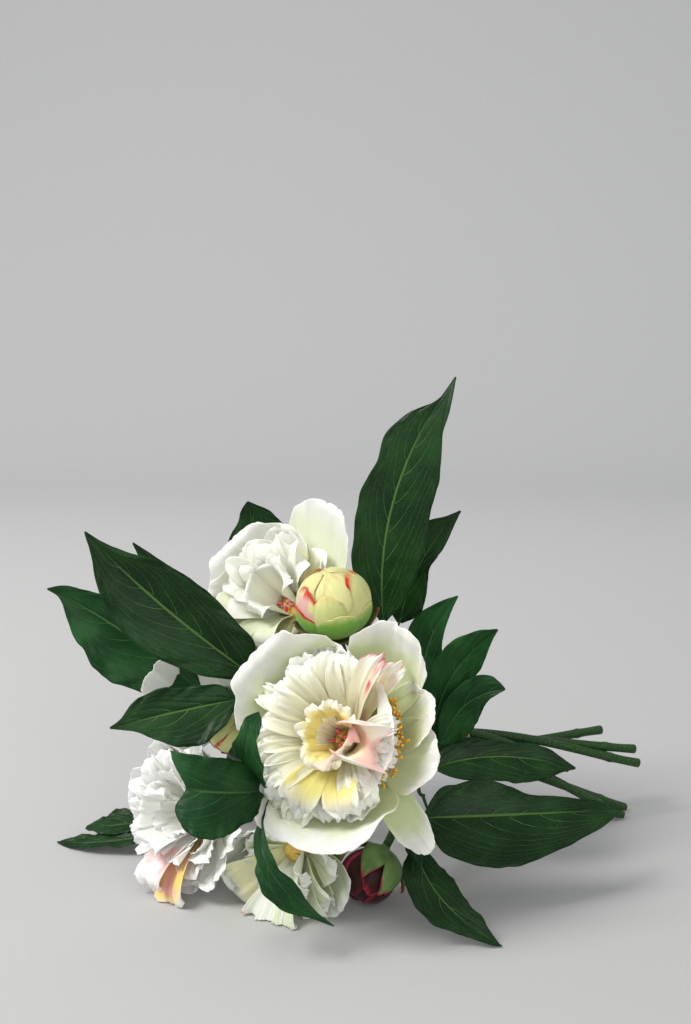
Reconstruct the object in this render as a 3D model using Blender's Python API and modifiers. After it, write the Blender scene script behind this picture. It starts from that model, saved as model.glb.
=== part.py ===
"""A bunch of peonies laid down on its side: five double blooms, three buds, lobed leaves and
eight cut stems that cross in a tie. Metres, +Z up, the bunch rests on z = 0, its heads point
to -X and its cut ends to +X. Run with: blender --background --python part.py"""

import math
import random

import bmesh
import bpy
import numpy as np
from mathutils import Matrix, Vector
from mathutils.bvhtree import BVHTree

MM = 0.001
GAP = 0.3 * MM  # air between pieces that touch on the real bunch
FOOT = (6.0, 28.0)  # middle of the bunch's footprint, which the model's origin sits under, mm

# ---- driving dimensions, mm -------------------------------------------------------------
STEM_R = 2.7
PETIOLE_R = 1.1
STALK_TIP_R = 0.7
PETAL_THICK = 0.75
LEAF_THICK = 0.8
SEPAL_THICK = 0.8
NECK = (66.0, 58.0, 64.0)  # where the stems cross
HEADWARD = (-0.90, -0.38, 0.22)  # the bundle's own direction, towards the heads
SPIRAL = 0.17  # how far each stem leans round the bundle, as a slope
WAIST_R = 8.2  # ring of stem centres at the crossing
TO_HEAD = (0, 0.25, 0.5, 0.75, 0.96, 1)  # places of a stem's points, from waist to head
HEAD_SWELL = (0.98, 0.98, 0.98, 0.98, 0.9, 0.9)  # its radius there over STEM_R
TO_END = (0.25, 0.5, 0.8, 0.82, 0.84, 1)  # the same from waist to cut end, with a node ring
END_SWELL = (0.98, 0.98, 1.0, 1.2, 1.05, 1.1)
TIE_GAP = 0.5  # between the outermost stems and the tie
CORD_D = 1.7  # the tie's cord, wound side by side
CORD_TURNS = 3
CALYX_DEPTH = 9.0  # the cup under a bloom, along its axis
BUD_CUP_DEPTH = 5.0
CORE_R = 7.6  # the knob that a bloom's petals grow from
CORE_TOP = 12.6
RING_Z = (6.4, 7.9)  # where the ring of stamens sits up the knob
STAMEN_R = 0.5
ANTHER_R = 1.1
CARPEL_R = 1.3
LEAF_FOLD = 14.0  # how far each half of a leaflet is folded up from its rib, degrees
LEAF_WAVE = 1.2  # height of the waves along its margin

BLOOMS = {  # name: receptacle, facing direction, radius across the guard petals
    "front": ((4.0, -23.0, 93.0), (-0.33, -0.84, 0.40), 57.0),
    "back": ((-28.0, 72.0, 142.0), (-0.45, -0.70, 0.55), 49.0),
    "left": ((-73.0, 18.0, 36.7), (-0.70, -0.68, 0.18), 50.0),
    "low": ((-23.0, -12.0, 33.0), (-0.42, -0.84, -0.25), 38.0),
    "rear": ((-69.0, 82.0, 75.0), (-0.86, 0.34, 0.28), 44.0),
}
BUDS = {  # name: foot of the bud, pointing direction, radius
    "top": ((-4.0, 8.0, 147.0), (-0.16, -0.32, 0.93), 20.5),
    "low": ((20.0, -14.0, 25.4), (-0.50, -0.60, -0.62), 15.5),
    "left": ((-56.0, -2.0, 98.0), (-0.80, -0.50, -0.33), 12.0),
}
STEMS = {  # name: head it carries, slot round the waist in degrees (None = middle), cut end
    "front": (("bloom", "front"), 34.0, (114.0, 97.0, 41.0)),
    "bud_top": (("bud", "top"), 78.0, (180.0, 112.0, 2.4)),
    "back": (("bloom", "back"), 120.0, (176.0, 99.0, 2.4)),
    "rear": (("bloom", "rear"), 186.0, (137.0, 75.0, 43.0)),
    "left": (("bloom", "left"), 229.0, (187.0, 108.0, 34.0)),
    "low": (("bloom", "low"), 275.0, (185.0, 112.0, 42.0)),
    "bud_low": (("bud", "low"), 324.0, (165.0, 123.0, 51.0)),
    "bud_left": (("bud", "left"), None, (118.0, 82.0, 48.0)),
}
FRONT_GUARDS = (  # azimuth, length, width, angle at the root, angle at the rim, cup, tilt
    (142, 73, 76, 84, 24, 44, 0.0),
    (186, 50, 32, 72, 12, 30, 0.2),
    (102, 56, 32, 74, 40, 30, 0.2),
    (66, 66, 50, 84, 36, 38, -0.2),
    (24, 58, 42, 76, -6, 38, 0.2),
    (-10, 60, 46, 80, 0, 42, -0.2),
    (-46, 66, 44, 88, 62, 24, 0.0),
    (-72, 66, 80, 82, 22, 48, 0.0),
)
BACK_GUARDS = (
    (146, 59, 66, 82, 28, 40, 0.0),
    (68, 68, 44, 78, 40, 30, 0.1),
    (104, 52, 36, 76, 30, 30, 0.2),
    (14, 46, 44, 72, 10, 36, 0.2),
    (-50, 42, 44, 72, 10, 36, -0.2),
    (-110, 48, 50, 78, 20, 36, 0.2),
    (198, 54, 54, 80, 30, 36, 0.2),
)
LEFT_GUARDS = (
    (60, 50, 50, 80, 28, 36, 0.24),
    (118, 54, 50, 78, 26, 36, 0.24),
    (172, 54, 52, 80, 30, 36, 0.24),
    (228, 52, 50, 78, 26, 36, 0.24),
    (284, 50, 48, 80, 26, 36, 0.24),
    (342, 40, 36, 76, -2, 36, 0.24),
)
LOW_GUARDS = (
    (60, 42, 42, 80, 26, 36, 0.24),
    (130, 38, 38, 74, 10, 36, 0.24),
    (200, 48, 40, 78, 20, 30, 0.24),
    (255, 42, 42, 78, 24, 36, 0.24),
    (322, 45, 44, 80, 28, 36, 0.24),
)
REAR_GUARDS = (
    (100, 51, 47, 80, 28, 36, 0.24),
    (30, 64, 50, 80, 30, 36, 0.24),
    (-42, 51, 47, 80, 28, 36, 0.24),
    (-114, 51, 47, 80, 28, 36, 0.24),
    (174, 51, 47, 80, 28, 36, 0.24),
)
GUARDS = {  # bloom: its guard petals, as above
    "front": FRONT_GUARDS,
    "back": BACK_GUARDS,
    "left": LEFT_GUARDS,
    "low": LOW_GUARDS,
    "rear": REAR_GUARDS,
}
RINGS = {  # bloom: rings of inner petals as count, length and width over radius, opening, rim angle
    "front": ((6, 0.84, 0.64, 47, 22), (4, 0.70, 0.60, 29, 8), (3, 0.52, 0.40, 12, 2)),
    "back": ((6, 0.86, 0.68, 46, 22), (3, 0.68, 0.66, 22, 4)),
    "left": ((6, 0.88, 0.66, 48, 24), (4, 0.70, 0.54, 24, 4)),
    "low": ((5, 0.84, 0.70, 46, 24), (3, 0.66, 0.60, 20, 4)),
    "rear": ((5, 0.84, 0.70, 46, 22), (3, 0.66, 0.60, 20, 4)),
}
STAMENS = {"front": 12, "back": 8, "left": 8}  # bloom: stamens in its ring
CARPELS = ("front", "back", "left")  # blooms open enough to show their carpels
LOBED = {("front", 1): (0.90, 1.06, 1.0, 1.12, 1.25)}  # leaf and leaflet number: length from
# margin to margin, over the length of its rib, where it ends in two lobes
LEAVES = {  # name: stem, where along it (0 waist, 1 head), fork, then leaflets as base, middle, tip,
    # the way its upper face looks, twist in degrees, and its half widths left and right of the rib
    # at even steps from base to tip
    "tall": ("back", 0.42, (24, 52, 122), (
        ((22, 40, 144), (28, 40, 218), (62, 40, 286), (-0.25, -1.0, 0.0), 10,
         (1.5, 11, 17, 18, 19, 19, 16, 17.5, 12, 1, 0.4),
         (1.5, 15, 21, 24, 25, 24, 23, 19.5, 13, 8.5, 0.4)),
        ((32, 55, 140), (44, 55, 176), (67, 55, 207), (-0.2, -1.0, 0.1), 0,
         (1.5, 8, 10, 11.5, 12.5, 14, 13, 13, 10, 4, 0.4),
         (1.5, 11, 12, 11, 9, 6.5, 7, 7, 5.5, 3, 0.4)))),
    "long": ("bud_left", 0.60, (-40, 8, 122), (
        ((-49, -5, 124), (-99, -10, 166), (-139, -15, 208), (-0.05, -1.0, 0.25), 0,
         (1.5, 10, 16.5, 21, 24, 25, 24, 20, 14, 6, 0.4),
         (1.5, 16, 19, 21, 21, 20, 19.5, 15.5, 8.5, 3.5, 0.4)),
        ((-54, 20, 132), (-93, 36, 162), (-122, 40, 191), (-0.2, -0.9, 0.3), 0,
         (1.5, 6, 9, 10.5, 11, 10, 8.5, 6.5, 4.5, 2.5, 0.4),
         (1.5, 6, 9, 10.5, 11, 10, 8.5, 6.5, 4.5, 2.5, 0.4)))),
    "far_left": ("rear", 0.62, (-70, 44, 104), (
        ((-85, 40, 103), (-131, 40, 140), (-172, 40, 164), (-0.05, -1.0, 0.25), 0,
         (1.5, 17, 21.5, 25.5, 27.5, 26.5, 21, 18, 10, 2, 0.4),
         (1.5, 10, 14, 16.5, 17, 16, 14.5, 12, 9, 6.5, 0.4)),)),
    "behind": ("back", 0.56, (-22, 106, 138), (
        ((-36, 100, 143), (-52, 100, 176), (-60, 100, 205), (-0.1, -1.0, 0.1), 0,
         (1.5, 8, 14.5, 17, 20, 20, 20.5, 15.5, 9, 5.5, 0.4),
         (1.5, 14, 19, 22, 23.5, 23, 21.5, 19, 15.5, 11, 0.4)),)),
    "left": ("bud_left", 0.80, (-48, 0, 114), (
        ((-59, -15, 115), (-94, -20, 109), (-127, -25, 102), (-0.1, -0.9, 0.35), 0,
         (1.5, 12, 17, 21, 21, 19.5, 16, 11, 6, 3, 0.4),
         (1.5, 9.5, 11, 12, 12, 14, 14, 12.5, 9.5, 3.5, 0.4)),)),
    "right": ("front", 0.26, (51, 31, 69), (
        ((49, 37, 78), (46, 37, 123), (64, 30, 162), (-0.3, -1.0, 0.2), 0,
         (1.5, 3, 6, 9, 11, 13.5, 14, 14, 11, 6, 0.4),
         (1.5, 6, 9, 11, 11, 11, 9.5, 7.5, 5, 3, 0.4)),
        ((51, 34, 77), (61, 29, 114), (86, 20, 145), (0.1, -1.0, 0.2), 0,
         (1.5, 4, 7, 9, 10.5, 11.5, 13, 13.5, 10.5, 7, 0.4),
         (1.5, 3.5, 4, 5, 6, 6.5, 8.5, 10, 8, 4, 0.4)),
        ((55, 29, 73), (69, 25, 99), (91, 20, 110), (0.2, -1.0, 0.3), 0,
         (1.5, 2.5, 4, 6, 7, 8, 9, 10, 11.5, 8, 0.4),
         (1.5, 8.5, 9.5, 10, 9, 8, 6, 4, 2.5, 2.5, 0.4)))),
    "over_stems": ("bud_top", 0.14, (46, 28, 60), (
        ((51, 25, 61), (90, 28, 67), (134, 30, 59), (0.0, -0.8, 0.6), 0,
         (1.5, 7, 9, 9, 7, 6, 6, 7, 6.5, 4, 0.4),
         (1.5, 7, 10, 11, 12, 12.5, 14, 15, 12, 6, 0.4)),)),
    "wide": ("bud_low", 0.50, (45, 5, 52), (
        ((43, -15, 47), (94, -15, 49), (156, 0, 46), (0.0, -0.8, 0.6), 0,
         (1.5, 15, 17.5, 19, 18.5, 15, 10, 9, 7, 5, 0.4),
         (1.5, 20, 26, 30, 32, 30, 26, 21.5, 15.5, 9.5, 0.4)),)),
    "floor": ("bud_low", 0.82, (38, -22, 43), (
        ((38, -34, 40), (50, -60, 21), (81, -74, 0), (0.2, -0.7, 0.7), 0,
         (1.5, 5, 8.5, 10.5, 11.5, 11, 9.5, 8, 7, 4, 0.4),
         (1.5, 6, 11.5, 14.5, 16, 17, 16, 10.5, 6, 3.5, 0.4)),
        ((34, -32, 44), (36, -44, 42), (40, -55, 37), (0.2, -0.7, 0.7), 0,
         (1.5, 2.5, 4, 5, 5, 5, 5, 4, 3.5, 2, 0.5),
         (1.5, 2.5, 4, 5, 5, 5, 5, 4, 3.5, 2, 0.5)))),
    "front": ("front", 0.80, (-38, -38, 74), (
        ((-43, -46, 80), (-50, -79, 108), (-44, -71, 126), (-0.5, -0.8, -0.1), -20,
         (1.5, 12, 14, 13, 10.5, 8, 6.5, 5, 4.5, 4, 0.4),
         (1.5, 8, 11, 12, 12, 11, 9.5, 8, 7, 5.5, 0.4)),
        ((-43, -47, 75), (-61, -78, 86), (-80, -83, 90), (-0.2, -0.9, 0.3), 0,
         (3, 8, 12, 15, 18, 20.5, 22.5, 23.5, 23.5, 22.5, 20.5),
         (4, 10, 14, 16, 17.5, 18, 18, 18, 18, 18, 17.5)),
        ((-40, -48, 70), (-38, -89, 50), (-6, -80, 15), (-0.6, -0.8, 0.1), 25,
         (1.5, 5, 6.5, 6.5, 6, 6, 8, 8.5, 6.5, 3, 0.4),
         (1.5, 5, 6.5, 6.5, 6.5, 7.5, 9.5, 9, 6.5, 3, 0.4)))),
    "floor_left": ("left", 0.72, (-104, 44, 20), (
        ((-114, 44, 12), (-146, 50, 5), (-176, 60, 0.3), (0.1, -0.3, 0.95), 0,
         (1.5, 4.5, 6.5, 7.5, 8, 8.5, 8, 7, 5.5, 3.5, 0.5),
         (1.5, 4.5, 6.5, 7.5, 8, 8.5, 8, 7, 5.5, 3.5, 0.5)),
        ((-114, 54, 17), (-140, 62, 11), (-160, 70, 6), (0.1, -0.4, 0.9), 0,
         (1.5, 5.5, 8, 9.5, 10.5, 10.5, 9.5, 8.5, 6.5, 4, 1),
         (1.5, 5.5, 8, 9.5, 10.5, 10.5, 9.5, 8.5, 6.5, 4, 1)))),
    "back_low": ("rear", 0.45, (10, 96, 44), (
        ((2, 104, 38), (-28, 128, 22), (-58, 142, 0.3), (0.0, 0.5, 0.85), 0,
         (1.5, 9, 13.5, 16, 17.5, 17.5, 16.5, 14.5, 11, 7, 1.5),
         (1.5, 9, 13.5, 16, 17.5, 17.5, 16.5, 14.5, 11, 7, 1.5)),)),
    "back_up": ("rear", 0.36, (4, 100, 84), (
        ((0, 108, 90), (-24, 132, 104), (-56, 148, 118), (-0.1, 0.8, 0.6), 0,
         (1.5, 9.5, 14.5, 17, 18.5, 18.5, 17.5, 15.5, 12, 7.5, 1.5),
         (1.5, 9.5, 14.5, 17, 18.5, 18.5, 17.5, 15.5, 12, 7.5, 1.5)),)),
}

BLOOM_PAINT = {
    "front": "petal_cream",
    "back": "petal_cream",
    "left": "petal_white",
    "low": "petal_green_white",
    "rear": "petal_white",
}
BUD_PAINT = {"top": "bud_green", "low": "bud_maroon", "left": "bud_green"}
PAINT = {  # material: colour, roughness
    "petal_cream": ((0.88, 0.83, 0.66), 0.6),
    "petal_white": ((0.87, 0.86, 0.80), 0.6),
    "petal_green_white": ((0.78, 0.83, 0.66), 0.6),
    "bud_green": ((0.58, 0.66, 0.24), 0.55),
    "bud_maroon": ((0.20, 0.03, 0.05), 0.55),
    "stamen": ((0.86, 0.48, 0.04), 0.7),
    "carpel": ((0.78, 0.12, 0.22), 0.6),
    "sepal": ((0.16, 0.27, 0.10), 0.55),
    "leaf": ((0.035, 0.11, 0.045), 0.4),
    "stem": ((0.11, 0.20, 0.06), 0.45),
    "tie": ((0.30, 0.27, 0.14), 0.8),
}


# ---- small geometry ---------------------------------------------------------------------
def unit(v):
    v = np.asarray(v, float)
    return v / np.linalg.norm(v)


def here(p):
    """A place in mm, as a point in metres from the model's origin."""
    return (np.asarray(p, float) - (*FOOT, 0.0)) * MM


def facing(axis):
    """Columns: right, up and out, for something that faces along axis."""
    out = unit(axis)
    right = unit(np.cross((0, 0, 1), out))
    return np.column_stack([right, np.cross(out, right), out])


def bezier(points, t):
    """A cubic curve and its direction at each t."""
    a, b, c, d = (np.asarray(p, float) for p in points)
    t = np.asarray(t, float)[..., None]
    u = 1 - t
    place = u**3 * a + 3 * u * u * t * b + 3 * u * t * t * c + t**3 * d
    along = 3 * u * u * (b - a) + 6 * u * t * (c - b) + 3 * t * t * (d - c)
    return place, along / np.linalg.norm(along, axis=-1, keepdims=True)


def petal_surface(azimuth, length, width, opens, rims, cup, root, ruffle=0.0, phase=0.0,
                  lobes=0.0, curl=1.0, tilt=0.0):
    """The middle surface of one petal, mm, as a function of s (-1..1 across) and t (0..1 along).
    It leaves the axis at opens degrees and ends at rims degrees; cup bends it across."""
    u = np.linspace(0, 1.3, 80)
    lean = np.radians(opens + (rims - opens) * u**curl)
    step = length * (u[1] - u[0])
    reach = root[0] + np.concatenate([[0], np.cumsum(np.sin(lean[:-1]))]) * step
    rise = root[1] + np.concatenate([[0], np.cumsum(np.cos(lean[:-1]))]) * step
    turn = math.radians(azimuth)

    def point(s, t):
        crown = 1 - 0.20 * abs(s) ** 2.4 + lobes * t**5 * math.sin(3.1 * math.pi * s + phase)
        q = t * crown
        half = width / 2 * (0.10 + 0.90 * math.sin(math.pi / 2 * min(t / 0.72, 1.0)))
        bend = math.radians(max(cup, 0.5)) * min(1.0, 0.15 + t / 0.4)
        a = np.interp(q, u, lean)
        wave = math.sin(2 * math.pi * s + phase) + 0.5 * math.sin(4.6 * s + 2 * phase)
        lift = half * (1 - math.cos(bend * s)) / bend + ruffle * t**2.5 * wave + tilt * s * half * t
        side = half * math.sin(bend * s) / bend
        out = np.interp(q, u, reach) - lift * math.cos(a)
        up = np.interp(q, u, rise) + lift * math.sin(a)
        c, d = math.cos(turn), math.sin(turn)
        return np.array([out * c - side * d, out * d + side * c, up])

    return point


def leaf_surface(base, middle, tip, face, twist, left, right, ends=(1.0, 1.0)):
    """The middle surface of one leaflet whose rib runs from base through middle to tip, mm. ends is
    its length at even steps from margin to margin, over the length of the rib."""
    base, middle, tip = (np.asarray(p, float) for p in (base, middle, tip))
    handle = 2 * middle - (base + tip) / 2
    face = unit(face)
    fold = math.radians(LEAF_FOLD)
    steps = np.linspace(0, 1, len(left))
    across = np.linspace(-1, 1, len(ends))

    def point(s, t):
        half = float(np.interp(t, steps, right if s > 0 else left))
        t = t * float(np.interp(s, across, ends))
        rib = (1 - t) ** 2 * base + 2 * t * (1 - t) * handle + t * t * tip
        along = unit((1 - t) * (handle - base) + t * (tip - handle))
        side = unit(np.cross(along, face))
        up = np.cross(side, along)
        turn = math.radians(twist) * (t - 0.4)
        side, up = (side * math.cos(turn) + up * math.sin(turn),
                    up * math.cos(turn) - side * math.sin(turn))
        raised = abs(s) * half * math.sin(fold)
        raised += LEAF_WAVE * s * s * math.sin(9.0 * t + left[5] + right[5] + 1.3 * s) * min(1.0, half / 6)
        return rib + side * s * half * math.cos(fold) + up * raised

    return point


# ---- Blender makers ---------------------------------------------------------------------
def fresh_start():
    for obj in list(bpy.data.objects):
        bpy.data.objects.remove(obj, do_unlink=True)
    parts = bpy.data.collections.new("peony_bunch")
    cutters = bpy.data.collections.new("cutters")
    bpy.context.scene.collection.children.link(parts)
    bpy.context.scene.collection.children.link(cutters)
    return parts, cutters


def material(name):
    found = bpy.data.materials.get(name)
    if found:
        return found
    colour, rough = PAINT[name]
    made = bpy.data.materials.new(name)
    made.use_nodes = True
    surface = made.node_tree.nodes["Principled BSDF"]
    surface.inputs["Base Color"].default_value = (*colour, 1)
    surface.inputs["Roughness"].default_value = rough
    return made


def mesh_from(bm, name):
    mesh = bpy.data.meshes.new(name)
    bm.to_mesh(mesh)
    bm.free()
    return mesh


def baked(obj, weld=True):
    """The object's evaluated mesh, in a plain mesh object in place of it."""
    graph = bpy.context.evaluated_depsgraph_get()
    mesh = bpy.data.meshes.new_from_object(obj.evaluated_get(graph))
    if weld:
        bm = bmesh.new()
        bm.from_mesh(mesh)
        bmesh.ops.remove_doubles(bm, verts=bm.verts, dist=0.01 * MM)
        bmesh.ops.recalc_face_normals(bm, faces=bm.faces)
        bm.to_mesh(mesh)
        bm.free()
    made = bpy.data.objects.new(obj.name + "_solid", mesh)
    made.matrix_world = obj.matrix_world
    for group in obj.users_collection:
        group.objects.link(made)
    bpy.data.objects.remove(obj)
    return made


def blade(surface, across, along, thick, group, place=None):
    """A thin closed blade: a grid laid on a surface, cut to triangles, with Solidify."""
    bm = bmesh.new()
    bmesh.ops.create_grid(bm, x_segments=across, y_segments=along, size=1.0)
    for v in bm.verts:
        p = surface(v.co.x, (v.co.y + 1) / 2)
        v.co = here(p if place is None else place[0] + place[1] @ p)
    bmesh.ops.triangulate(bm, faces=bm.faces)
    obj = bpy.data.objects.new("blade", mesh_from(bm, "blade"))
    group.objects.link(obj)
    skin = obj.modifiers.new("thickness", "SOLIDIFY")
    skin.thickness = thick * MM
    skin.offset = 0
    return baked(obj)


def tube(points, radii, group, resolution=0):
    """A rod through the points, mm, with its ends filled: four-sided at resolution 0."""
    data = bpy.data.curves.new("tube", "CURVE")
    data.dimensions = "3D"
    spline = data.splines.new("POLY")
    spline.points.add(len(points) - 1)
    for slot, p, r in zip(spline.points, points, radii):
        slot.co = (*here(p), 1)
        slot.radius = r * MM
    data.bevel_depth = 1.0
    data.bevel_resolution = resolution
    data.use_fill_caps = True
    obj = bpy.data.objects.new("tube", data)
    group.objects.link(obj)
    return baked(obj)


def round_solid(profile, place, group, steps):
    """A turned solid from (radius, height) pairs, mm, its axis along place's out direction."""
    bm = bmesh.new()
    spots = [bm.verts.new((r * MM, 0, h * MM)) for r, h in profile]
    for a, b in zip(spots, spots[1:]):
        bm.edges.new((a, b))
    obj = bpy.data.objects.new("turned", mesh_from(bm, "turned"))
    group.objects.link(obj)
    spin = obj.modifiers.new("spin", "SCREW")
    spin.steps = spin.render_steps = steps
    spin.use_merge_vertices = True
    spin.merge_threshold = 0.01 * MM
    spot, frame = place
    obj.matrix_world = Matrix.Translation(here(spot)) @ Matrix(frame.tolist()).to_4x4()
    bpy.context.view_layer.update()
    return baked(obj)


def keep_largest(obj):
    """Drops what a union leaves besides the main body: sealed hollows and loose scraps."""
    bm = bmesh.new()
    bm.from_mesh(obj.data)
    left = set(bm.verts)
    shells = []
    while left:
        shell, edge = set(), [next(iter(left))]
        while edge:
            v = edge.pop()
            if v in shell:
                continue
            shell.add(v)
            edge.extend(e.other_vert(v) for e in v.link_edges)
        left -= shell
        shells.append(shell)
    shells.sort(key=len)
    bmesh.ops.delete(bm, geom=[v for shell in shells[:-1] for v in shell], context="VERTS")
    bm.to_mesh(obj.data)
    bm.free()


def joined(name, pieces, parts, paint, floor=None):
    """One named solid from overlapping pieces, by a single Boolean union, cut flat at the floor.
    The union is MANIFOLD: EXACT is slow on this many thin blades."""
    whole, rest = pieces[0], pieces[1:]
    if rest:
        pool = bpy.data.collections.new("pool")
        bpy.context.scene.collection.children.link(pool)
        for piece in rest:
            for group in list(piece.users_collection):
                group.objects.unlink(piece)
            pool.objects.link(piece)
        union = whole.modifiers.new("union", "BOOLEAN")
        union.operation = "UNION"
        union.operand_type = "COLLECTION"
        union.collection = pool
        union.solver = "MANIFOLD"
        whole = baked(whole, weld=False)
        for piece in rest:
            bpy.data.objects.remove(piece)
        bpy.data.collections.remove(pool)
        keep_largest(whole)
    for group in list(whole.users_collection):
        group.objects.unlink(whole)
    parts.objects.link(whole)
    whole.name = whole.data.name = name
    whole.data.materials.clear()
    whole.data.materials.append(material(paint))
    if floor is not None:
        cut = whole.modifiers.new("flat_foot", "BOOLEAN")
        cut.operation = "DIFFERENCE"
        cut.object = floor
        cut.solver = "EXACT"
    whole.data.shade_smooth()
    whole.data.set_sharp_from_angle(angle=math.radians(40))
    return whole


# ---- stems and tie ----------------------------------------------------------------------
def bundle_frame():
    """The bundle's direction with the front and up directions across it."""
    main = unit(HEADWARD)
    front = unit(np.array([0, -1, 0]) - main * np.dot((0, -1, 0), main))
    return main, front, np.cross(main, front)


def head_foot(kind, name):
    """Where a head's own piece of stem ends, and the direction that it arrives in."""
    spot, axis, _ = (BLOOMS if kind == "bloom" else BUDS)[name]
    drop = CALYX_DEPTH if kind == "bloom" else BUD_CUP_DEPTH
    return np.asarray(spot, float) - unit(axis) * (drop + GAP / MM), unit(axis)


def stem_curves(name):
    """Two cubic curves from the waist: one to the head and one to the cut end."""
    (kind, head), slot, end = STEMS[name]
    main, front, up = bundle_frame()
    neck = np.asarray(NECK)
    if slot is None:
        waist, way = neck, main
    else:
        a = math.radians(slot - 90)
        waist = neck + WAIST_R * (math.cos(a) * front + math.sin(a) * up)
        way = unit(main + SPIRAL * (-math.sin(a) * front + math.cos(a) * up))
    foot, axis = head_foot(kind, head)
    far = np.linalg.norm(foot - waist)
    to_head = (waist, waist + way * far * 0.42, foot - axis * far * 0.36, foot)
    end = np.asarray(end, float)
    far = np.linalg.norm(end - waist)
    to_end = (waist, waist - way * far * 0.4, end - unit(end - waist) * far * 0.3, end)
    return to_head, to_end


def make_stem(name, parts, floor):
    to_head, to_end = stem_curves(name)
    tail, _ = bezier(to_end, TO_END[::-1])
    head, _ = bezier(to_head, TO_HEAD)
    radii = [STEM_R * k for k in (*END_SWELL[::-1], *HEAD_SWELL)]
    rod = tube([*tail, *head], radii, parts, resolution=2)
    return joined("stem_" + name, [rod], parts, "stem", floor)


def make_tie(parts):
    """Turns of cord wound flat round the crossing, as ridges on one band."""
    inner = WAIST_R + STEM_R + TIE_GAP
    valley, crest = inner + 0.5 * CORD_D, inner + CORD_D
    high = CORD_D * CORD_TURNS / 2
    profile = [(inner, -high)]
    for i in range(CORD_TURNS):
        low = CORD_D * i - high
        profile += [(valley, low), (crest, low + 0.3 * CORD_D), (crest, low + 0.7 * CORD_D)]
    profile += [(valley, high), (inner, high), (inner, -high)]
    main, front, up = bundle_frame()
    place = (np.asarray(NECK), np.column_stack([front, up, main]))
    ring = round_solid(profile[::-1], place, parts, steps=14)
    return joined("tie", [ring], parts, "tie")


# ---- heads ------------------------------------------------------------------------------
def bloom_place(name):
    spot, axis, _ = BLOOMS[name]
    return np.asarray(spot, float), facing(axis)


def guard_petals(name):
    """The large outer petals of a bloom, as settings for petal_surface."""
    chance = random.Random("guard" + name)
    return [dict(azimuth=azimuth, length=length, width=width, opens=opens, rims=rims, cup=cup,
                 tilt=tilt, root=(3.5, 1.4 + 0.7 * (i % 2)), ruffle=0.9,
                 phase=chance.uniform(0, 6), curl=0.9)
            for i, (azimuth, length, width, opens, rims, cup, tilt) in enumerate(GUARDS[name])]


def inner_petals(name):
    """The ruffled petals that fill the cup, ring by ring from outside in."""
    radius = BLOOMS[name][2]
    chance = random.Random("inner" + name)
    made = []
    for ring, (count, long, wide, opens, rims) in enumerate(RINGS[name]):
        for i in range(count):
            made.append(dict(
                azimuth=360 / count * (i + 0.5 * ring) + chance.uniform(-6, 6),
                length=radius * long * chance.uniform(0.92, 1.08), width=radius * wide,
                opens=opens + chance.uniform(-3, 3), rims=rims + chance.uniform(-8, 8), cup=30,
                tilt=0.34, root=(5.6 - 1.0 * ring, 9.3 + ring), ruffle=1.0,
                phase=chance.uniform(0, 6), lobes=0.05, curl=0.8))
    return made


def make_bloom(name, parts, floor):
    place = bloom_place(name)
    core = [(0, 0.0), (6.5, 0.3), (CORE_R, 2.0), (CORE_R, 9.6), (6.6, 12.0), (0, CORE_TOP)]
    pieces = [round_solid(core[::-1], place, parts, steps=10)]
    for leaf in guard_petals(name):
        pieces.append(blade(petal_surface(**leaf), 3, 3, PETAL_THICK, parts, place))
    for leaf in inner_petals(name):
        pieces.append(blade(petal_surface(**leaf), 2, 2, PETAL_THICK, parts, place))
    return joined(f"bloom_{name}_petals", pieces, parts, BLOOM_PAINT[name], floor)


def make_calyx(name, parts):
    """The green cup under a bloom, with five narrow sepals bent back from it."""
    place = bloom_place(name)
    top = -GAP / MM
    cup = [(0, -CALYX_DEPTH), (3.2, -CALYX_DEPTH), (4.6, -5.0), (6.6, top), (0, top)]
    pieces = [round_solid(cup[::-1], place, parts, steps=8)]
    for i in range(5):
        surface = petal_surface(72 * i + 30, 17 + 3 * (i % 2), 10, 112, 96, 30, (3.6, -3.4))
        pieces.append(blade(surface, 2, 1, SEPAL_THICK, parts, place))
    return joined(f"bloom_{name}_calyx", pieces, parts, "sepal")


def make_stamens(name, parts, petals):
    """A ring round the core, between the guard petals and the inner ones, with stamens on it.
    A stamen that a petal's base would cross is left out."""
    spot, frame = bloom_place(name)
    chance = random.Random("stamens" + name)
    inner, outer = CORE_R + GAP / MM, CORE_R + 1.5
    low, high = RING_Z
    band = [(inner, low), (outer, low), (outer, high), (inner, high), (inner, low)]
    pieces = [round_solid(band[::-1], (spot, frame), parts, steps=12)]
    tree = BVHTree.FromObject(petals, bpy.context.evaluated_depsgraph_get())
    to_petals = petals.matrix_world.inverted()
    for i in range(STAMENS[name]):
        turn = math.radians(360 / STAMENS[name] * i + chance.uniform(-8, 8))
        lean = math.radians(chance.uniform(52, 62))
        way = np.array([math.cos(turn) * math.sin(lean), math.sin(turn) * math.sin(lean),
                        math.cos(lean)])
        foot = np.array([math.cos(turn), math.sin(turn), 0]) * (outer - 0.6) + (0, 0, (low + high) / 2)
        reach = chance.uniform(13, 17)
        steps = [(0, STAMEN_R), (reach - 4, STAMEN_R), (reach - 2.2, ANTHER_R), (reach, STAMEN_R)]
        points = [spot + frame @ (foot + way * d) for d, _ in steps]
        clear = [tree.find_nearest(to_petals @ Vector(here(spot + frame @ (foot + way * d))))[3]
                 for d in np.arange(1.0, reach + 0.5, 1.0)]
        if min(clear) > ANTHER_R * MM + GAP:
            pieces.append(tube(points, [r for _, r in steps], parts))
    return joined(f"bloom_{name}_stamens", pieces, parts, "stamen")


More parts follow.
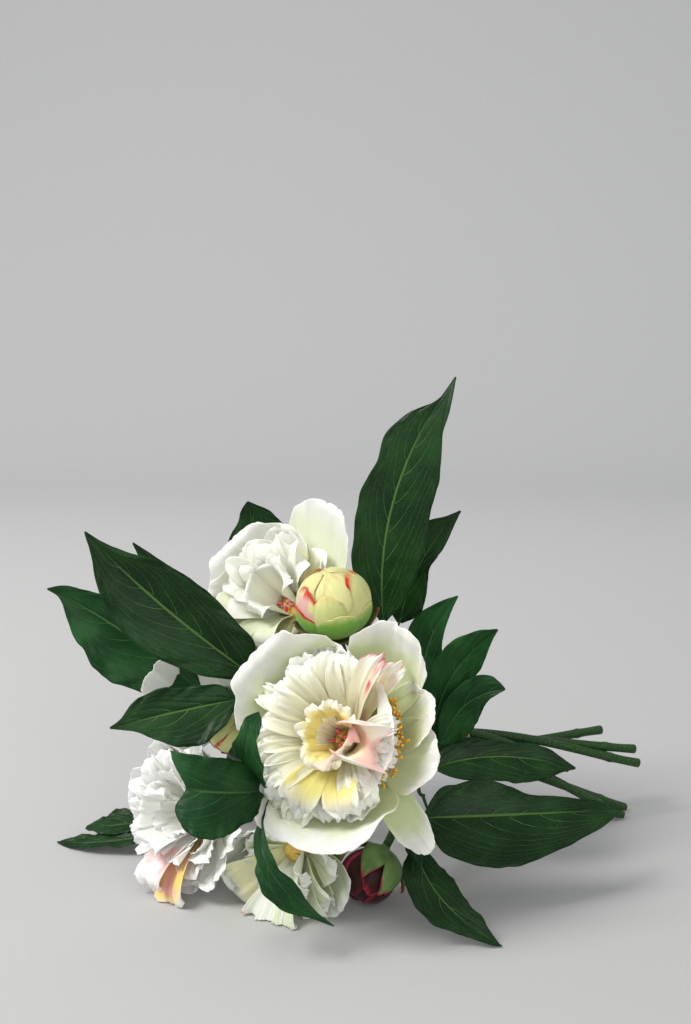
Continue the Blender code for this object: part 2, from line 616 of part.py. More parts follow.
def make_carpels(name, parts):
    """Three pointed carpels standing together on the middle of the core."""
    spot, frame = bloom_place(name)
    low = CORE_TOP + GAP / MM
    pieces = []
    for i in range(3):
        turn = math.radians(120 * i + 20)
        side = np.array([math.cos(turn), math.sin(turn), 0])
        points = [side * 0.6 + (0, 0, low), side * 1.4 + (0, 0, low + 4),
                  side * 1.2 + (0, 0, low + 8), side * 2.2 + (0, 0, low + 11)]
        radii = [CARPEL_R * k for k in (1, 1, 0.62, 0.27)]
        pieces.append(tube([spot + frame @ p for p in points], radii, parts))
    return joined(f"bloom_{name}_carpels", pieces, parts, "carpel")


def make_bud(name, parts, floor):
    """A round closed bud: its wrapped petals stand out as steps spiralling up the globe."""
    spot, axis, radius = BUDS[name]
    frame = facing(axis)
    bm = bmesh.new()
    bmesh.ops.create_uvsphere(bm, u_segments=16, v_segments=9, radius=1.0)
    for v in bm.verts:
        turn, climb = math.atan2(v.co.y, v.co.x), math.acos(max(-1, min(1, v.co.z)))
        wrap = (turn / (2 * math.pi) * 5 + climb * 0.9) % 1.0
        fade = math.sin(climb) ** 1.5
        grow = radius * (1 + 0.09 * fade * wrap - 0.04 * fade)
        p = np.array(v.co) * grow * (1, 1, 1.08) + (0, 0, radius * 1.02)
        v.co = here(np.asarray(spot) + frame @ p)
    obj = bpy.data.objects.new("bud", mesh_from(bm, "bud"))
    parts.objects.link(obj)
    return joined(f"bud_{name}_petals", [baked(obj)], parts, BUD_PAINT[name], floor)


def make_bud_sepals(name, parts, floor):
    spot, axis, radius = BUDS[name]
    place = np.asarray(spot, float), facing(axis)
    cup = [(0, -BUD_CUP_DEPTH), (3.0, -BUD_CUP_DEPTH), (5.0, -2.6), (5.4, -1.5), (0, -1.5)]
    pieces = [round_solid(cup[::-1], place, parts, steps=8)]
    shell = radius * 1.13
    for i in range(4):
        reach = radius * (1.35, 0.95, 1.2, 0.85)[i]
        rims = 92 - math.degrees(reach / shell)
        surface = petal_surface(90 * i + 25, reach, radius * 0.95, 92, rims, 34, (3.0, -2.2))
        pieces.append(blade(surface, 2, 2, SEPAL_THICK, parts, place))
    return joined(f"bud_{name}_sepals", pieces, parts, "sepal", floor)


# ---- leaves -----------------------------------------------------------------------------
def leaf_seat(stem, where, towards):
    """The spot just off a stem's skin that faces a place, and the direction outwards."""
    to_head, _ = stem_curves(stem)
    points, _ = bezier(to_head, TO_HEAD)
    spot = np.array([np.interp(where, TO_HEAD, row) for row in points.T])
    after = int(np.searchsorted(TO_HEAD, where))
    along = unit(points[after] - points[after - 1])
    side = np.asarray(towards, float) - spot
    out = unit(side - along * np.dot(side, along))
    return spot + out * (STEM_R + GAP / MM), out


def make_leaf(name, parts, floor):
    """One leaf: a stalk seated on its stem, a fork, and a leaflet at the end of each branch."""
    stem, where, fork, leaflets = LEAVES[name]
    fork = np.asarray(fork, float)
    seat, out = leaf_seat(stem, where, fork)
    far = np.linalg.norm(fork - seat)
    ribs = [unit(np.asarray(middle, float) - base) for base, middle, *_ in leaflets]
    heading = unit(sum(ribs))
    curve = (seat, seat + out * far * 0.3, fork - heading * far * 0.3, fork)
    stalk, _ = bezier(curve, (0, 0.06, 0.4, 0.75, 1))
    pieces = [tube(stalk, [PETIOLE_R] * len(stalk), parts)]
    for number, (leaflet, rib) in enumerate(zip(leaflets, ribs)):
        branch = [fork - heading * 1.2, np.asarray(leaflet[0], float) + rib * 4]
        pieces.append(tube(branch, [PETIOLE_R, STALK_TIP_R], parts))
        surface = leaf_surface(*leaflet, LOBED.get((name, number), (1.0, 1.0)))
        pieces.append(blade(surface, 2, 6, LEAF_THICK, parts))
    return joined("leaf_" + name, pieces, parts, "leaf", floor)


# ---- build ------------------------------------------------------------------------------
def make_floor(cutters):
    """A block under z = 0 that trims what presses on the surface to flat spots."""
    bpy.ops.mesh.primitive_cube_add(size=1.0, location=(0, 0, -0.1))
    block = bpy.context.object
    block.name = "floor_cutter"
    block.scale = (1.0, 1.0, 0.2)
    bpy.ops.object.transform_apply(location=False, rotation=False, scale=True)
    for group in list(block.users_collection):
        group.objects.unlink(block)
    cutters.objects.link(block)
    block.hide_render = True
    block.display_type = "WIRE"
    return block


def main():
    parts, cutters = fresh_start()
    floor = make_floor(cutters)
    for name in STEMS:
        make_stem(name, parts, floor)
    make_tie(parts)
    for name in BLOOMS:
        petals = make_bloom(name, parts, floor)
        make_calyx(name, parts)
        if name in STAMENS:
            make_stamens(name, parts, petals)
        if name in CARPELS:
            make_carpels(name, parts)
    for name in BUDS:
        make_bud(name, parts, floor)
        make_bud_sepals(name, parts, floor)
    for name in LEAVES:
        make_leaf(name, parts, floor)


main()
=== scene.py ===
"""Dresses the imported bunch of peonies: fine petals, leaves, stems and tie in place of its faceted
solids, on a pale sweep under soft light. Lengths are in mm in the layout of the part and become
metres from the model's origin in here()."""

import math
import random

import bpy
import numpy as np
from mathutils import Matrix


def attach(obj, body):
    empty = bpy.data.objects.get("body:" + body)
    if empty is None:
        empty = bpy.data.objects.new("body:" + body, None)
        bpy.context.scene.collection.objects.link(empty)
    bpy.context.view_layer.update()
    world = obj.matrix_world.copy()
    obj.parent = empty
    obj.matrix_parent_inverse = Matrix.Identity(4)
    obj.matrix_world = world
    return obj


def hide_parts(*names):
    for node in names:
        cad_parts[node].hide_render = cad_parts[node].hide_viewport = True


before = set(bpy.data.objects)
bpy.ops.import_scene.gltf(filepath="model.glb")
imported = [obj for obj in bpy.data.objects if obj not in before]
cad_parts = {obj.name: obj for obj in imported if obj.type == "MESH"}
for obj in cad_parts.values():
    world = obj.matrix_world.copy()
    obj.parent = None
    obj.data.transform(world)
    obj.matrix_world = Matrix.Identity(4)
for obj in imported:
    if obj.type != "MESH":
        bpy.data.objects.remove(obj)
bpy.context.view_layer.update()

MM = 0.001
FOOT = (6.0, 28.0)  # middle of the bunch's footprint in the layout
REST = 1.2  # what sinks lower than this lies flat on the surface
EYE, LOOK_DOWN, LENS = (-0.006, -0.788, 0.35), 10, 50.0  # camera: m, degrees, mm on a 36 mm frame

# ---- the layout, as in the part ---------------------------------------------------------
STEM_R = 2.7
GAP = 0.3
NECK = (66.0, 58.0, 64.0)
HEADWARD = (-0.90, -0.38, 0.22)
SPIRAL = 0.17
WAIST_R = 8.2
CALYX_DEPTH = 9.0
BUD_CUP_DEPTH = 5.0
CORE_TOP = 12.6

BLOOMS = {  # name: receptacle, facing direction, radius across the guard petals
    "front": ((4.0, -23.0, 93.0), (-0.33, -0.84, 0.40), 57.0),
    "back": ((-28.0, 72.0, 142.0), (-0.45, -0.70, 0.55), 49.0),
    "left": ((-73.0, 18.0, 36.7), (-0.70, -0.68, 0.18), 50.0),
    "low": ((-23.0, -12.0, 33.0), (-0.42, -0.84, -0.25), 38.0),
    "rear": ((-69.0, 82.0, 75.0), (-0.86, 0.34, 0.28), 44.0),
}
BUDS = {  # name: foot of the bud, pointing direction, radius
    "top": ((-4.0, 8.0, 147.0), (-0.16, -0.32, 0.93), 20.5),
    "low": ((20.0, -14.0, 25.4), (-0.50, -0.60, -0.62), 15.5),
    "left": ((-56.0, -2.0, 98.0), (-0.80, -0.50, -0.33), 12.0),
}
STEMS = {  # name: head it carries, slot round the waist in degrees (None = middle), cut end
    "front": (("bloom", "front"), 34.0, (114.0, 97.0, 41.0)),
    "bud_top": (("bud", "top"), 78.0, (180.0, 112.0, 2.4)),
    "back": (("bloom", "back"), 120.0, (176.0, 99.0, 2.4)),
    "rear": (("bloom", "rear"), 186.0, (137.0, 75.0, 43.0)),
    "left": (("bloom", "left"), 229.0, (187.0, 108.0, 34.0)),
    "low": (("bloom", "low"), 275.0, (185.0, 112.0, 42.0)),
    "bud_low": (("bud", "low"), 324.0, (165.0, 123.0, 51.0)),
    "bud_left": (("bud", "left"), None, (118.0, 82.0, 48.0)),
}
LEAVES = {  # name: stem, where along it (0 waist, 1 head), fork, then leaflets as base, middle, tip,
    # the way its upper face looks, twist in degrees, and its half widths left and right of the rib
    # at even steps from base to tip. Most half widths were solved by a program rather than chosen
    "tall": ("back", 0.42, (24, 52, 122), (
        ((22, 40, 144), (28, 40, 218), (62, 40, 286), (-0.25, -1.0, 0.0), 10,
         (1.5, 11, 17, 18, 19, 19, 16, 17.5, 12, 1, 0.4),
         (1.5, 15, 21, 24, 25, 24, 23, 19.5, 13, 8.5, 0.4)),
        ((32, 55, 140), (44, 55, 176), (67, 55, 207), (-0.2, -1.0, 0.1), 0,
         (1.5, 8, 10, 11.5, 12.5, 14, 13, 13, 10, 4, 0.4),
         (1.5, 11, 12, 11, 9, 6.5, 7, 7, 5.5, 3, 0.4)))),
    "long": ("bud_left", 0.60, (-40, 8, 122), (
        ((-49, -5, 124), (-99, -10, 166), (-139, -15, 208), (-0.05, -1.0, 0.25), 0,
         (1.5, 10, 16.5, 21, 24, 25, 24, 20, 14, 6, 0.4),
         (1.5, 16, 19, 21, 21, 20, 19.5, 15.5, 8.5, 3.5, 0.4)),
        ((-54, 20, 132), (-93, 36, 162), (-122, 40, 191), (-0.2, -0.9, 0.3), 0,
         (1.5, 6, 9, 10.5, 11, 10, 8.5, 6.5, 4.5, 2.5, 0.4),
         (1.5, 6, 9, 10.5, 11, 10, 8.5, 6.5, 4.5, 2.5, 0.4)))),
    "far_left": ("rear", 0.62, (-70, 44, 104), (
        ((-85, 40, 103), (-131, 40, 140), (-172, 40, 164), (-0.05, -1.0, 0.25), 0,
         (1.5, 17, 21.5, 25.5, 27.5, 26.5, 21, 18, 10, 2, 0.4),
         (1.5, 10, 14, 16.5, 17, 16, 14.5, 12, 9, 6.5, 0.4)),)),
    "behind": ("back", 0.56, (-22, 106, 138), (
        ((-36, 100, 143), (-52, 100, 176), (-60, 100, 205), (-0.1, -1.0, 0.1), 0,
         (1.5, 8, 14.5, 17, 20, 20, 20.5, 15.5, 9, 5.5, 0.4),
         (1.5, 14, 19, 22, 23.5, 23, 21.5, 19, 15.5, 11, 0.4)),)),
    "left": ("bud_left", 0.80, (-48, 0, 114), (
        ((-59, -15, 115), (-94, -20, 109), (-127, -25, 102), (-0.1, -0.9, 0.35), 0,
         (1.5, 12, 17, 21, 21, 19.5, 16, 11, 6, 3, 0.4),
         (1.5, 9.5, 11, 12, 12, 14, 14, 12.5, 9.5, 3.5, 0.4)),)),
    "right": ("front", 0.26, (51, 31, 69), (
        ((49, 37, 78), (46, 37, 123), (64, 30, 162), (-0.3, -1.0, 0.2), 0,
         (1.5, 3, 6, 9, 11, 13.5, 14, 14, 11, 6, 0.4),
         (1.5, 6, 9, 11, 11, 11, 9.5, 7.5, 5, 3, 0.4)),
        ((51, 34, 77), (61, 29, 114), (86, 20, 145), (0.1, -1.0, 0.2), 0,
         (1.5, 5, 9, 12, 13.5, 14, 14.5, 14, 11, 7, 0.4),
         (1.5, 5, 7, 8.5, 9.5, 10, 10.5, 10.5, 8, 4, 0.4)),
        ((55, 29, 73), (69, 25, 99), (91, 20, 110), (0.2, -1.0, 0.3), 0,
         (1.5, 4, 7, 9, 11, 12, 12, 12, 11.5, 8, 0.4),
         (1.5, 9, 11, 12, 12, 11, 9, 6.5, 4, 2.5, 0.4)))),
    "over_stems": ("bud_top", 0.14, (46, 28, 60), (
        ((51, 25, 61), (90, 28, 67), (134, 30, 59), (0.0, -0.8, 0.6), 0,
         (1.5, 9, 12, 12, 10, 9, 9, 9, 7.5, 4, 0.4),
         (1.5, 9, 13, 15, 16, 16.5, 17, 16, 12.5, 6, 0.4)),)),
    "wide": ("bud_low", 0.50, (45, 5, 52), (
        ((43, -15, 47), (94, -15, 49), (156, 0, 46), (0.0, -0.8, 0.6), 0,
         (1.5, 15, 17.5, 19, 18.5, 15, 10, 9, 7, 5, 0.4),
         (1.5, 20, 26, 30, 32, 30, 26, 21.5, 15.5, 9.5, 0.4)),)),
    "floor": ("bud_low", 0.82, (38, -22, 43), (
        ((38, -34, 40), (50, -60, 21), (81, -74, 0), (0.2, -0.7, 0.7), 0,
         (1.5, 5, 8.5, 10.5, 11.5, 11, 9.5, 8, 7, 4, 0.4),
         (1.5, 6, 11.5, 14.5, 16, 17, 16, 10.5, 6, 3.5, 0.4)),
        ((34, -32, 44), (36, -44, 42), (40, -55, 37), (0.2, -0.7, 0.7), 0,
         (1.5, 2.5, 4, 5, 5, 5, 5, 4, 3.5, 2, 0.5),
         (1.5, 2.5, 4, 5, 5, 5, 5, 4, 3.5, 2, 0.5)))),
    "front": ("front", 0.80, (-38, -38, 74), (
        ((-43, -46, 80), (-50, -79, 108), (-44, -71, 126), (-0.5, -0.8, -0.1), -20,
         (1.5, 12, 14, 13, 10.5, 8, 6.5, 5, 4.5, 4, 0.4),
         (1.5, 8, 11, 12, 12, 11, 9.5, 8, 7, 5.5, 0.4)),
        ((-43, -47, 75), (-61, -78, 86), (-80, -83, 90), (-0.2, -0.9, 0.3), 0,
         (3, 8, 12, 15, 18, 20.5, 22.5, 23.5, 23.5, 22.5, 20.5),
         (4, 10, 14, 16, 17.5, 18, 18, 18, 18, 18, 17.5)),
        ((-40, -48, 70), (-38, -89, 50), (-6, -80, 15), (-0.6, -0.8, 0.1), 25,
         (1.5, 5, 6.5, 6.5, 6, 6, 8, 8.5, 6.5, 3, 0.4),
         (1.5, 5, 6.5, 6.5, 6.5, 7.5, 9.5, 9, 6.5, 3, 0.4)))),
    "floor_left": ("left", 0.72, (-104, 44, 20), (
        ((-114, 44, 12), (-146, 50, 5), (-176, 60, 0.3), (0.1, -0.3, 0.95), 0,
         (1.5, 4.5, 6.5, 7.5, 8, 8.5, 8, 7, 5.5, 3.5, 0.5),
         (1.5, 4.5, 6.5, 7.5, 8, 8.5, 8, 7, 5.5, 3.5, 0.5)),
        ((-114, 54, 17), (-140, 62, 11), (-160, 70, 6), (0.1, -0.4, 0.9), 0,
         (1.5, 5.5, 8, 9.5, 10.5, 10.5, 9.5, 8.5, 6.5, 4, 1),
         (1.5, 5.5, 8, 9.5, 10.5, 10.5, 9.5, 8.5, 6.5, 4, 1)))),
    "back_low": ("rear", 0.45, (10, 96, 44), (
        ((2, 104, 38), (-28, 128, 22), (-58, 142, 0.3), (0.0, 0.5, 0.85), 0,
         (1.5, 9, 13.5, 16, 17.5, 17.5, 16.5, 14.5, 11, 7, 1.5),
         (1.5, 9, 13.5, 16, 17.5, 17.5, 16.5, 14.5, 11, 7, 1.5)),)),
    "back_up": ("rear", 0.36, (4, 100, 84), (
        ((0, 108, 90), (-24, 132, 104), (-56, 148, 118), (-0.1, 0.8, 0.6), 0,
         (1.5, 9.5, 14.5, 17, 18.5, 18.5, 17.5, 15.5, 12, 7.5, 1.5),
         (1.5, 9.5, 14.5, 17, 18.5, 18.5, 17.5, 15.5, 12, 7.5, 1.5)),)),
}
# leaves in a brighter copy of the leaf green: painted sheen where they catch the light
SHEEN_LEAVES = ("front", "right", "far_left")
LOBED = {("front", 1): (0.90, 1.06, 1.0, 1.12, 1.25)}  # leaf and leaflet number: length from
# margin to margin, over the length of its rib, where it ends in two lobes


# ---- small geometry ---------------------------------------------------------------------
def unit(v):
    v = np.asarray(v, float)
    return v / np.linalg.norm(v, axis=-1, keepdims=True)


def here(p):
    """Places in layout mm, as metres from the model's origin."""
    return (np.asarray(p, float) - (*FOOT, 0.0)) * MM


UP = np.array([0.0, 0.0, 1.0])  # in a flower's frame this is out along its axis


def outward(azimuth):
    """The way out from a flower's axis at an azimuth in degrees."""
    turn = math.radians(azimuth)
    return np.array([math.cos(turn), math.sin(turn), 0])


def facing(axis):
    """Columns: right, up and out, for something that faces along axis."""
    out = unit(axis)
    right = unit(np.cross((0, 0, 1), out))
    return np.column_stack([right, np.cross(out, right), out])


def bezier(points, t):
    """The cubic curve with these four control points, at each t."""
    a, b, c, d = (np.asarray(p, float) for p in points)
    t = np.asarray(t, float)[..., None]
    u = 1 - t
    return u**3 * a + 3 * u * u * t * b + 3 * u * t * t * c + t**3 * d


def swell(x, middle, reach, height):
    """A soft hump over x."""
    return height * np.exp(-(((x - middle) / reach) ** 2))


def eased(stations, t):
    """Values set at even stations from 0 to 1, joined by a smooth curve."""
    stations = np.atleast_1d(np.asarray(stations, float))
    if len(stations) == 1:
        return np.full_like(t, stations[0])
    x = np.clip(t, 0, 1) * (len(stations) - 1)
    i = np.clip(x.astype(int), 0, len(stations) - 2)
    padded = np.concatenate([[2 * stations[0] - stations[1]], stations,
                             [2 * stations[-1] - stations[-2]]])
    a, b, c, d = (padded[i + k] for k in range(4))
    f = x - i
    return 0.5 * (2 * b + (c - a) * f + (2 * a - 5 * b + 4 * c - d) * f**2
                  + (3 * b - a - 3 * c + d) * f**3)


def wavy(x, chance, waves):
    """A smooth irregular wave over x, within -1.25 to 1.25, with about that many crests per unit."""
    total = np.zeros_like(x)
    for share, size in ((1.0, 0.6), (1.9, 0.4), (3.1, 0.25)):
        rate = 2 * math.pi * waves * share * chance.uniform(0.8, 1.2)
        total += size * np.sin(rate * x + chance.uniform(0, 6.3))
    return total


def add_mesh(name, points, faces):
    """A smooth mesh object in the scene."""
    mesh = bpy.data.meshes.new(name)
    mesh.from_pydata(points, [], faces)
    mesh.shade_smooth()
    obj = bpy.data.objects.new(name, mesh)
    bpy.context.scene.collection.objects.link(obj)
    return obj


class Skin:
    """Grids of points, in layout mm, gathered into one mesh with named numbers at each point."""

    def __init__(self):
        self.points, self.faces, self.values, self.count = [], [], {}, 0

    def add(self, grid, closed=False, **values):
        rows, columns = grid.shape[:2]
        index = np.arange(rows * columns).reshape(rows, columns) + self.count
        if closed:
            index = np.concatenate([index, index[:, :1]], axis=1)
        corners = [index[:-1, :-1], index[:-1, 1:], index[1:, 1:], index[1:, :-1]]
        self.faces.append(np.stack(corners, -1).reshape(-1, 4))
        self.points.append(grid.reshape(-1, 3))
        for name, value in values.items():
            spread = np.broadcast_to(value, (rows, columns, *np.shape(value)[2:]))
            self.values.setdefault(name, []).append(spread.reshape(rows * columns, -1))
        self.count += rows * columns

    def build(self, name, materials, thick=None):
        """The mesh: a sheet given its thickness, or a closed skin whose seams are welded."""
        points = np.concatenate(self.points)
        low = points[:, 2] < REST
        points[low, 2] = REST - 0.25 * REST * np.tanh((REST - points[low, 2]) / REST)
        obj = add_mesh(name, here(points).tolist(), np.concatenate(self.faces).tolist())
        for key, parts in self.values.items():
            data = np.concatenate(parts).astype(np.float32)
            kind, field = ("FLOAT", "value") if data.shape[1] == 1 else ("FLOAT_VECTOR", "vector")
            obj.data.attributes.new(key, kind, "POINT").data.foreach_set(field, data.ravel())
        for paint in materials:
            obj.data.materials.append(paint)
        if thick:
            sheet = obj.modifiers.new("thickness", "SOLIDIFY")
            sheet.thickness = thick * MM
            sheet.offset = 0
            sheet.material_offset = len(materials) - 1
        else:
            weld = obj.modifiers.new("weld", "WELD")
            weld.merge_threshold = 1e-6
        return obj


def tube_grid(points, radii, sides=10):
    """Rings round a line of points, closed to a point at both ends."""
    points = np.asarray(points, float)
    radii = np.asarray(radii, float)
    along = unit(np.gradient(points, axis=0))
    side = np.cross(along[0], (0.3, 0.2, 0.9))
    rows = []
    for place, way, radius in zip(points, along, radii):
        side = unit(side - way * np.dot(side, way))
        turn = np.linspace(0, 2 * math.pi, sides, endpoint=False)[:, None]
        rows.append(place + radius * (np.cos(turn) * side + np.sin(turn) * np.cross(way, side)))
    first = np.broadcast_to(points[0], (sides, 3))
    last = np.broadcast_to(points[-1], (sides, 3))
    return np.stack([first, *rows, last])


# ---- petals -----------------------------------------------------------------------------
FINE = np.linspace(0, 1.2, 160)  # steps along a petal's rib, which may run a little past its end


def leaning_rib(azimuth, length, lean, root, swing=0.0):
    """A rib that starts at root (reach, rise) and leans from the flower's axis by lean, degrees at
    even stations, and the way its inner face looks. Both are in the flower's frame."""
    a = np.radians(eased(lean, np.minimum(FINE, 1)))
    step = length * (FINE[1] - FINE[0])
    reach = root[0] + np.concatenate([[0], np.cumsum(np.sin(a[:-1]))]) * step
    rise = root[1] + np.concatenate([[0], np.cumsum(np.cos(a[:-1]))]) * step
    turn = math.radians(azimuth) + math.radians(swing) * FINE
    out = np.stack([np.cos(turn), np.sin(turn), 0 * turn], -1)
    face = UP * np.sin(a)[:, None] - out * np.cos(a)[:, None]
    return reach[:, None] * out + rise[:, None] * UP, face


def standing_rib(azimuth, reach, top):
    """A rib that climbs from the knob to its crest and hangs over a little at its end, and the way
    its inner face looks: towards the flower's axis."""
    out = outward(azimuth)
    path = ((6.0, 11.0), (0.45 * reach + 3, 0.8 * top), (0.8 * reach, top), (reach, top - 4))
    spine = np.array([out * far + UP * high for far, high in path])
    rib = np.stack([eased(spine[:, k], np.minimum(FINE, 1)) for k in range(3)], -1)
    last = int(np.searchsorted(FINE, 1.0))
    rib[last:] = rib[last - 1] + np.outer(FINE[last:] - FINE[last - 1],
                                          (rib[last - 1] - rib[last - 4]) / (FINE[3] - FINE[0]))
    along = unit(np.gradient(rib, axis=0))
    return rib, UP * (along @ out)[:, None] - out * along[:, 2:]


def rim_line(s, chance, notches, depth, round_off):
    """How far a petal reaches at each s, 0..1: round ends, low waves, and rounded scallops of
    uneven width with that many lobes."""
    edge = 1 - round_off * np.abs(s) ** 2.4 + 0.3 * depth * wavy(s, chance, 0.6)
    if notches:
        uneven = s + 0.22 * wavy(s, chance, 0.7)
        lobes = np.abs(np.sin(math.pi * notches / 2 * uneven + chance.uniform(0, 3)))
        edge = edge + depth * (lobes**0.55 - 0.8) * (0.6 + 0.4 * wavy(s, chance, 0.8))
        middle, width = chance.uniform(-0.7, 0.7), chance.uniform(0.05, 0.1)
        edge = edge - 1.2 * depth * np.exp(-np.abs(s - middle) / width)
    return edge


def petal_grid(chance, rib, width, cup, shape, ruffle, notches, depth, crinkle, size, waves=1.4,
               round_off=0.22, tilt=0.0, twist=0.0, lip=0.0, lip_from=0.9):
    """One petal as rows of points in its flower's frame (right, up, out), mm, with its s across and
    t along. lip turns its end outwards by that many degrees, from lip_from on."""
    points, face = rib
    columns, rows = size
    s = np.linspace(-1, 1, columns)[None, :]
    t = (1 - (1 - np.linspace(0, 1, rows)) ** 1.25)[:, None]
    q = t * (1 + (rim_line(s, chance, notches, depth, round_off) - 1) * t**2)
    along = unit(np.gradient(points, axis=0))
    face = unit(face - along * np.sum(face * along, -1, keepdims=True))
    side = np.cross(along, face)
    flare = np.clip((FINE - lip_from) / (1 - lip_from) / 0.4, 0, 1)
    bow = (math.radians(lip) * flare * flare * (3 - 2 * flare))[:, None]
    along, face = along * np.cos(bow) - face * np.sin(bow), face * np.cos(bow) + along * np.sin(bow)
    lengths = np.linalg.norm(np.diff(points, axis=0), axis=1)[:, None]
    line = points[0] + np.concatenate([np.zeros((1, 3)), np.cumsum(along[:-1] * lengths, axis=0)])

    def at(values):
        return np.stack([np.interp(q, FINE, values[:, k]) for k in range(3)], -1)

    half = width / 2 * eased(shape, q)
    bend = np.radians(eased(cup, q))
    bend = np.where(np.abs(bend) < 0.01, 0.01, bend)
    wave = wavy(s + 0.15 * t, chance, waves) * ruffle * t**2.2
    wave = wave + 0.35 * ruffle * wavy(s + 0.3 * t, chance, 2.6 * waves) * t**5
    wave = wave + crinkle * wavy(s + 0.5 * t, chance, waves * 5) * t**1.5
    across = half * np.sin(bend * s) / bend
    lift = half * (1 - np.cos(bend * s)) / bend + wave + tilt * s * half * t
    roll = math.radians(twist) * q
    turned_across = across * np.cos(roll) - lift * np.sin(roll)
    lift = across * np.sin(roll) + lift * np.cos(roll)
    grid = at(line) + at(side) * turned_across[..., None] + at(face) * lift[..., None]
    return grid, s + 0 * t, t + 0 * s


def add_petal(skin, place, seed, rib, tint=(0.0, 0.3, 0.0), edge=0.0, streak=0.0, **petal):
    """Lays a petal in its flower's place. tint is how warm, green and blushed it is, edge how red
    its rim is and streak how red one margin is."""
    chance = random.Random(seed)
    grid, s, t = petal_grid(chance, rib, **petal)
    spot, frame_of = place
    own = chance.random()
    rim = edge * np.clip((t + 0.06 * s * s + 0.03 * wavy(s, chance, 1.2) - 0.9) / 0.09, 0, 1)
    if streak:
        bands = swell(s, 0.78 - 0.25 * t, 0.2, 1.0) + swell(s, 0.1 + 0.7 * (1 - t), 0.14, 0.9)
        rim = np.maximum(rim, streak * np.minimum(bands, 1) * np.clip((t - 0.3) / 0.2, 0, 1))
    skin.add(spot + grid @ frame_of.T, petal=np.stack([s, t, own + 0 * s], -1),
             tint=np.broadcast_to(np.asarray(tint, float), (*s.shape, 3)), edge=rim)


# ---- materials --------------------------------------------------------------------------
class Shade:
    """One Principled material and short calls for the nodes that feed it."""

    def __init__(self, name, **fixed):
        self.paint = bpy.data.materials.new(name)
        self.paint.use_nodes = True
        self.tree = self.paint.node_tree
        self.surface = self.tree.nodes["Principled BSDF"]
        for socket, value in fixed.items():
            self.surface.inputs[socket.replace("_", " ")].default_value = value

    def node(self, kind, *links, **settings):
        made = self.tree.nodes.new("ShaderNode" + kind)
        for key, value in settings.items():
            setattr(made, key, value)
        for i, value in enumerate(links):
            self.feed(made.inputs[i], value)
        return made

    def feed(self, socket, value):
        if isinstance(value, bpy.types.NodeSocket):
            self.tree.links.new(value, socket)
        elif isinstance(value, tuple) and len(value) == 3 and socket.type == "RGBA":
            socket.default_value = (*value, 1)
        else:
            socket.default_value = value

    def number(self, name):
        return self.node("Attribute", attribute_name=name).outputs["Fac"]

    def vector(self, name):
        """The three numbers that a piece keeps at each point under this name."""
        kept = self.node("Attribute", attribute_name=name).outputs["Vector"]
        return self.node("SeparateXYZ", kept).outputs

    def math(self, operation, *values):
        return self.node("Math", *values, operation=operation).outputs[0]

    def times(self, a, b):
        return self.math("MULTIPLY", a, b)

    def ramp(self, value, low, high, start=0.0, end=1.0):
        """A smooth step of value from start at low to end at high."""
        made = self.node("MapRange", value, low, high, start, end, interpolation_type="SMOOTHSTEP")
        return made.outputs[0]

    def mix(self, share, a, b):
        made = self.node("Mix", data_type="RGBA")
        self.feed(made.inputs["Factor"], share)
        self.feed(made.inputs[6], a)
        self.feed(made.inputs[7], b)
        return made.outputs[2]

    def noise(self, scale, detail=2.0, where=None):
        made = self.node("TexNoise", where or self.place())
        made.inputs["Scale"].default_value = scale
        made.inputs["Detail"].default_value = detail
        return made.outputs["Fac"]

    def streaks(self, across, along, seed, scale=1.0):
        """Noise drawn out along a piece, with its own pattern for each seed."""
        return self.noise(scale, 3.0, self.node("CombineXYZ", across, along, seed).outputs[0])

    def place(self):
        return self.node("TexCoord").outputs["Object"]

    def color(self, value):
        self.feed(self.surface.inputs["Base Color"], value)

    def rough(self, value):
        self.feed(self.surface.inputs["Roughness"], value)

    def bump(self, height, strength, distance):
        made = self.node("Bump")
        made.inputs["Strength"].default_value = strength
        made.inputs["Distance"].default_value = distance
        self.feed(made.inputs["Height"], height)
        self.feed(self.surface.inputs["Normal"], made.outputs["Normal"])


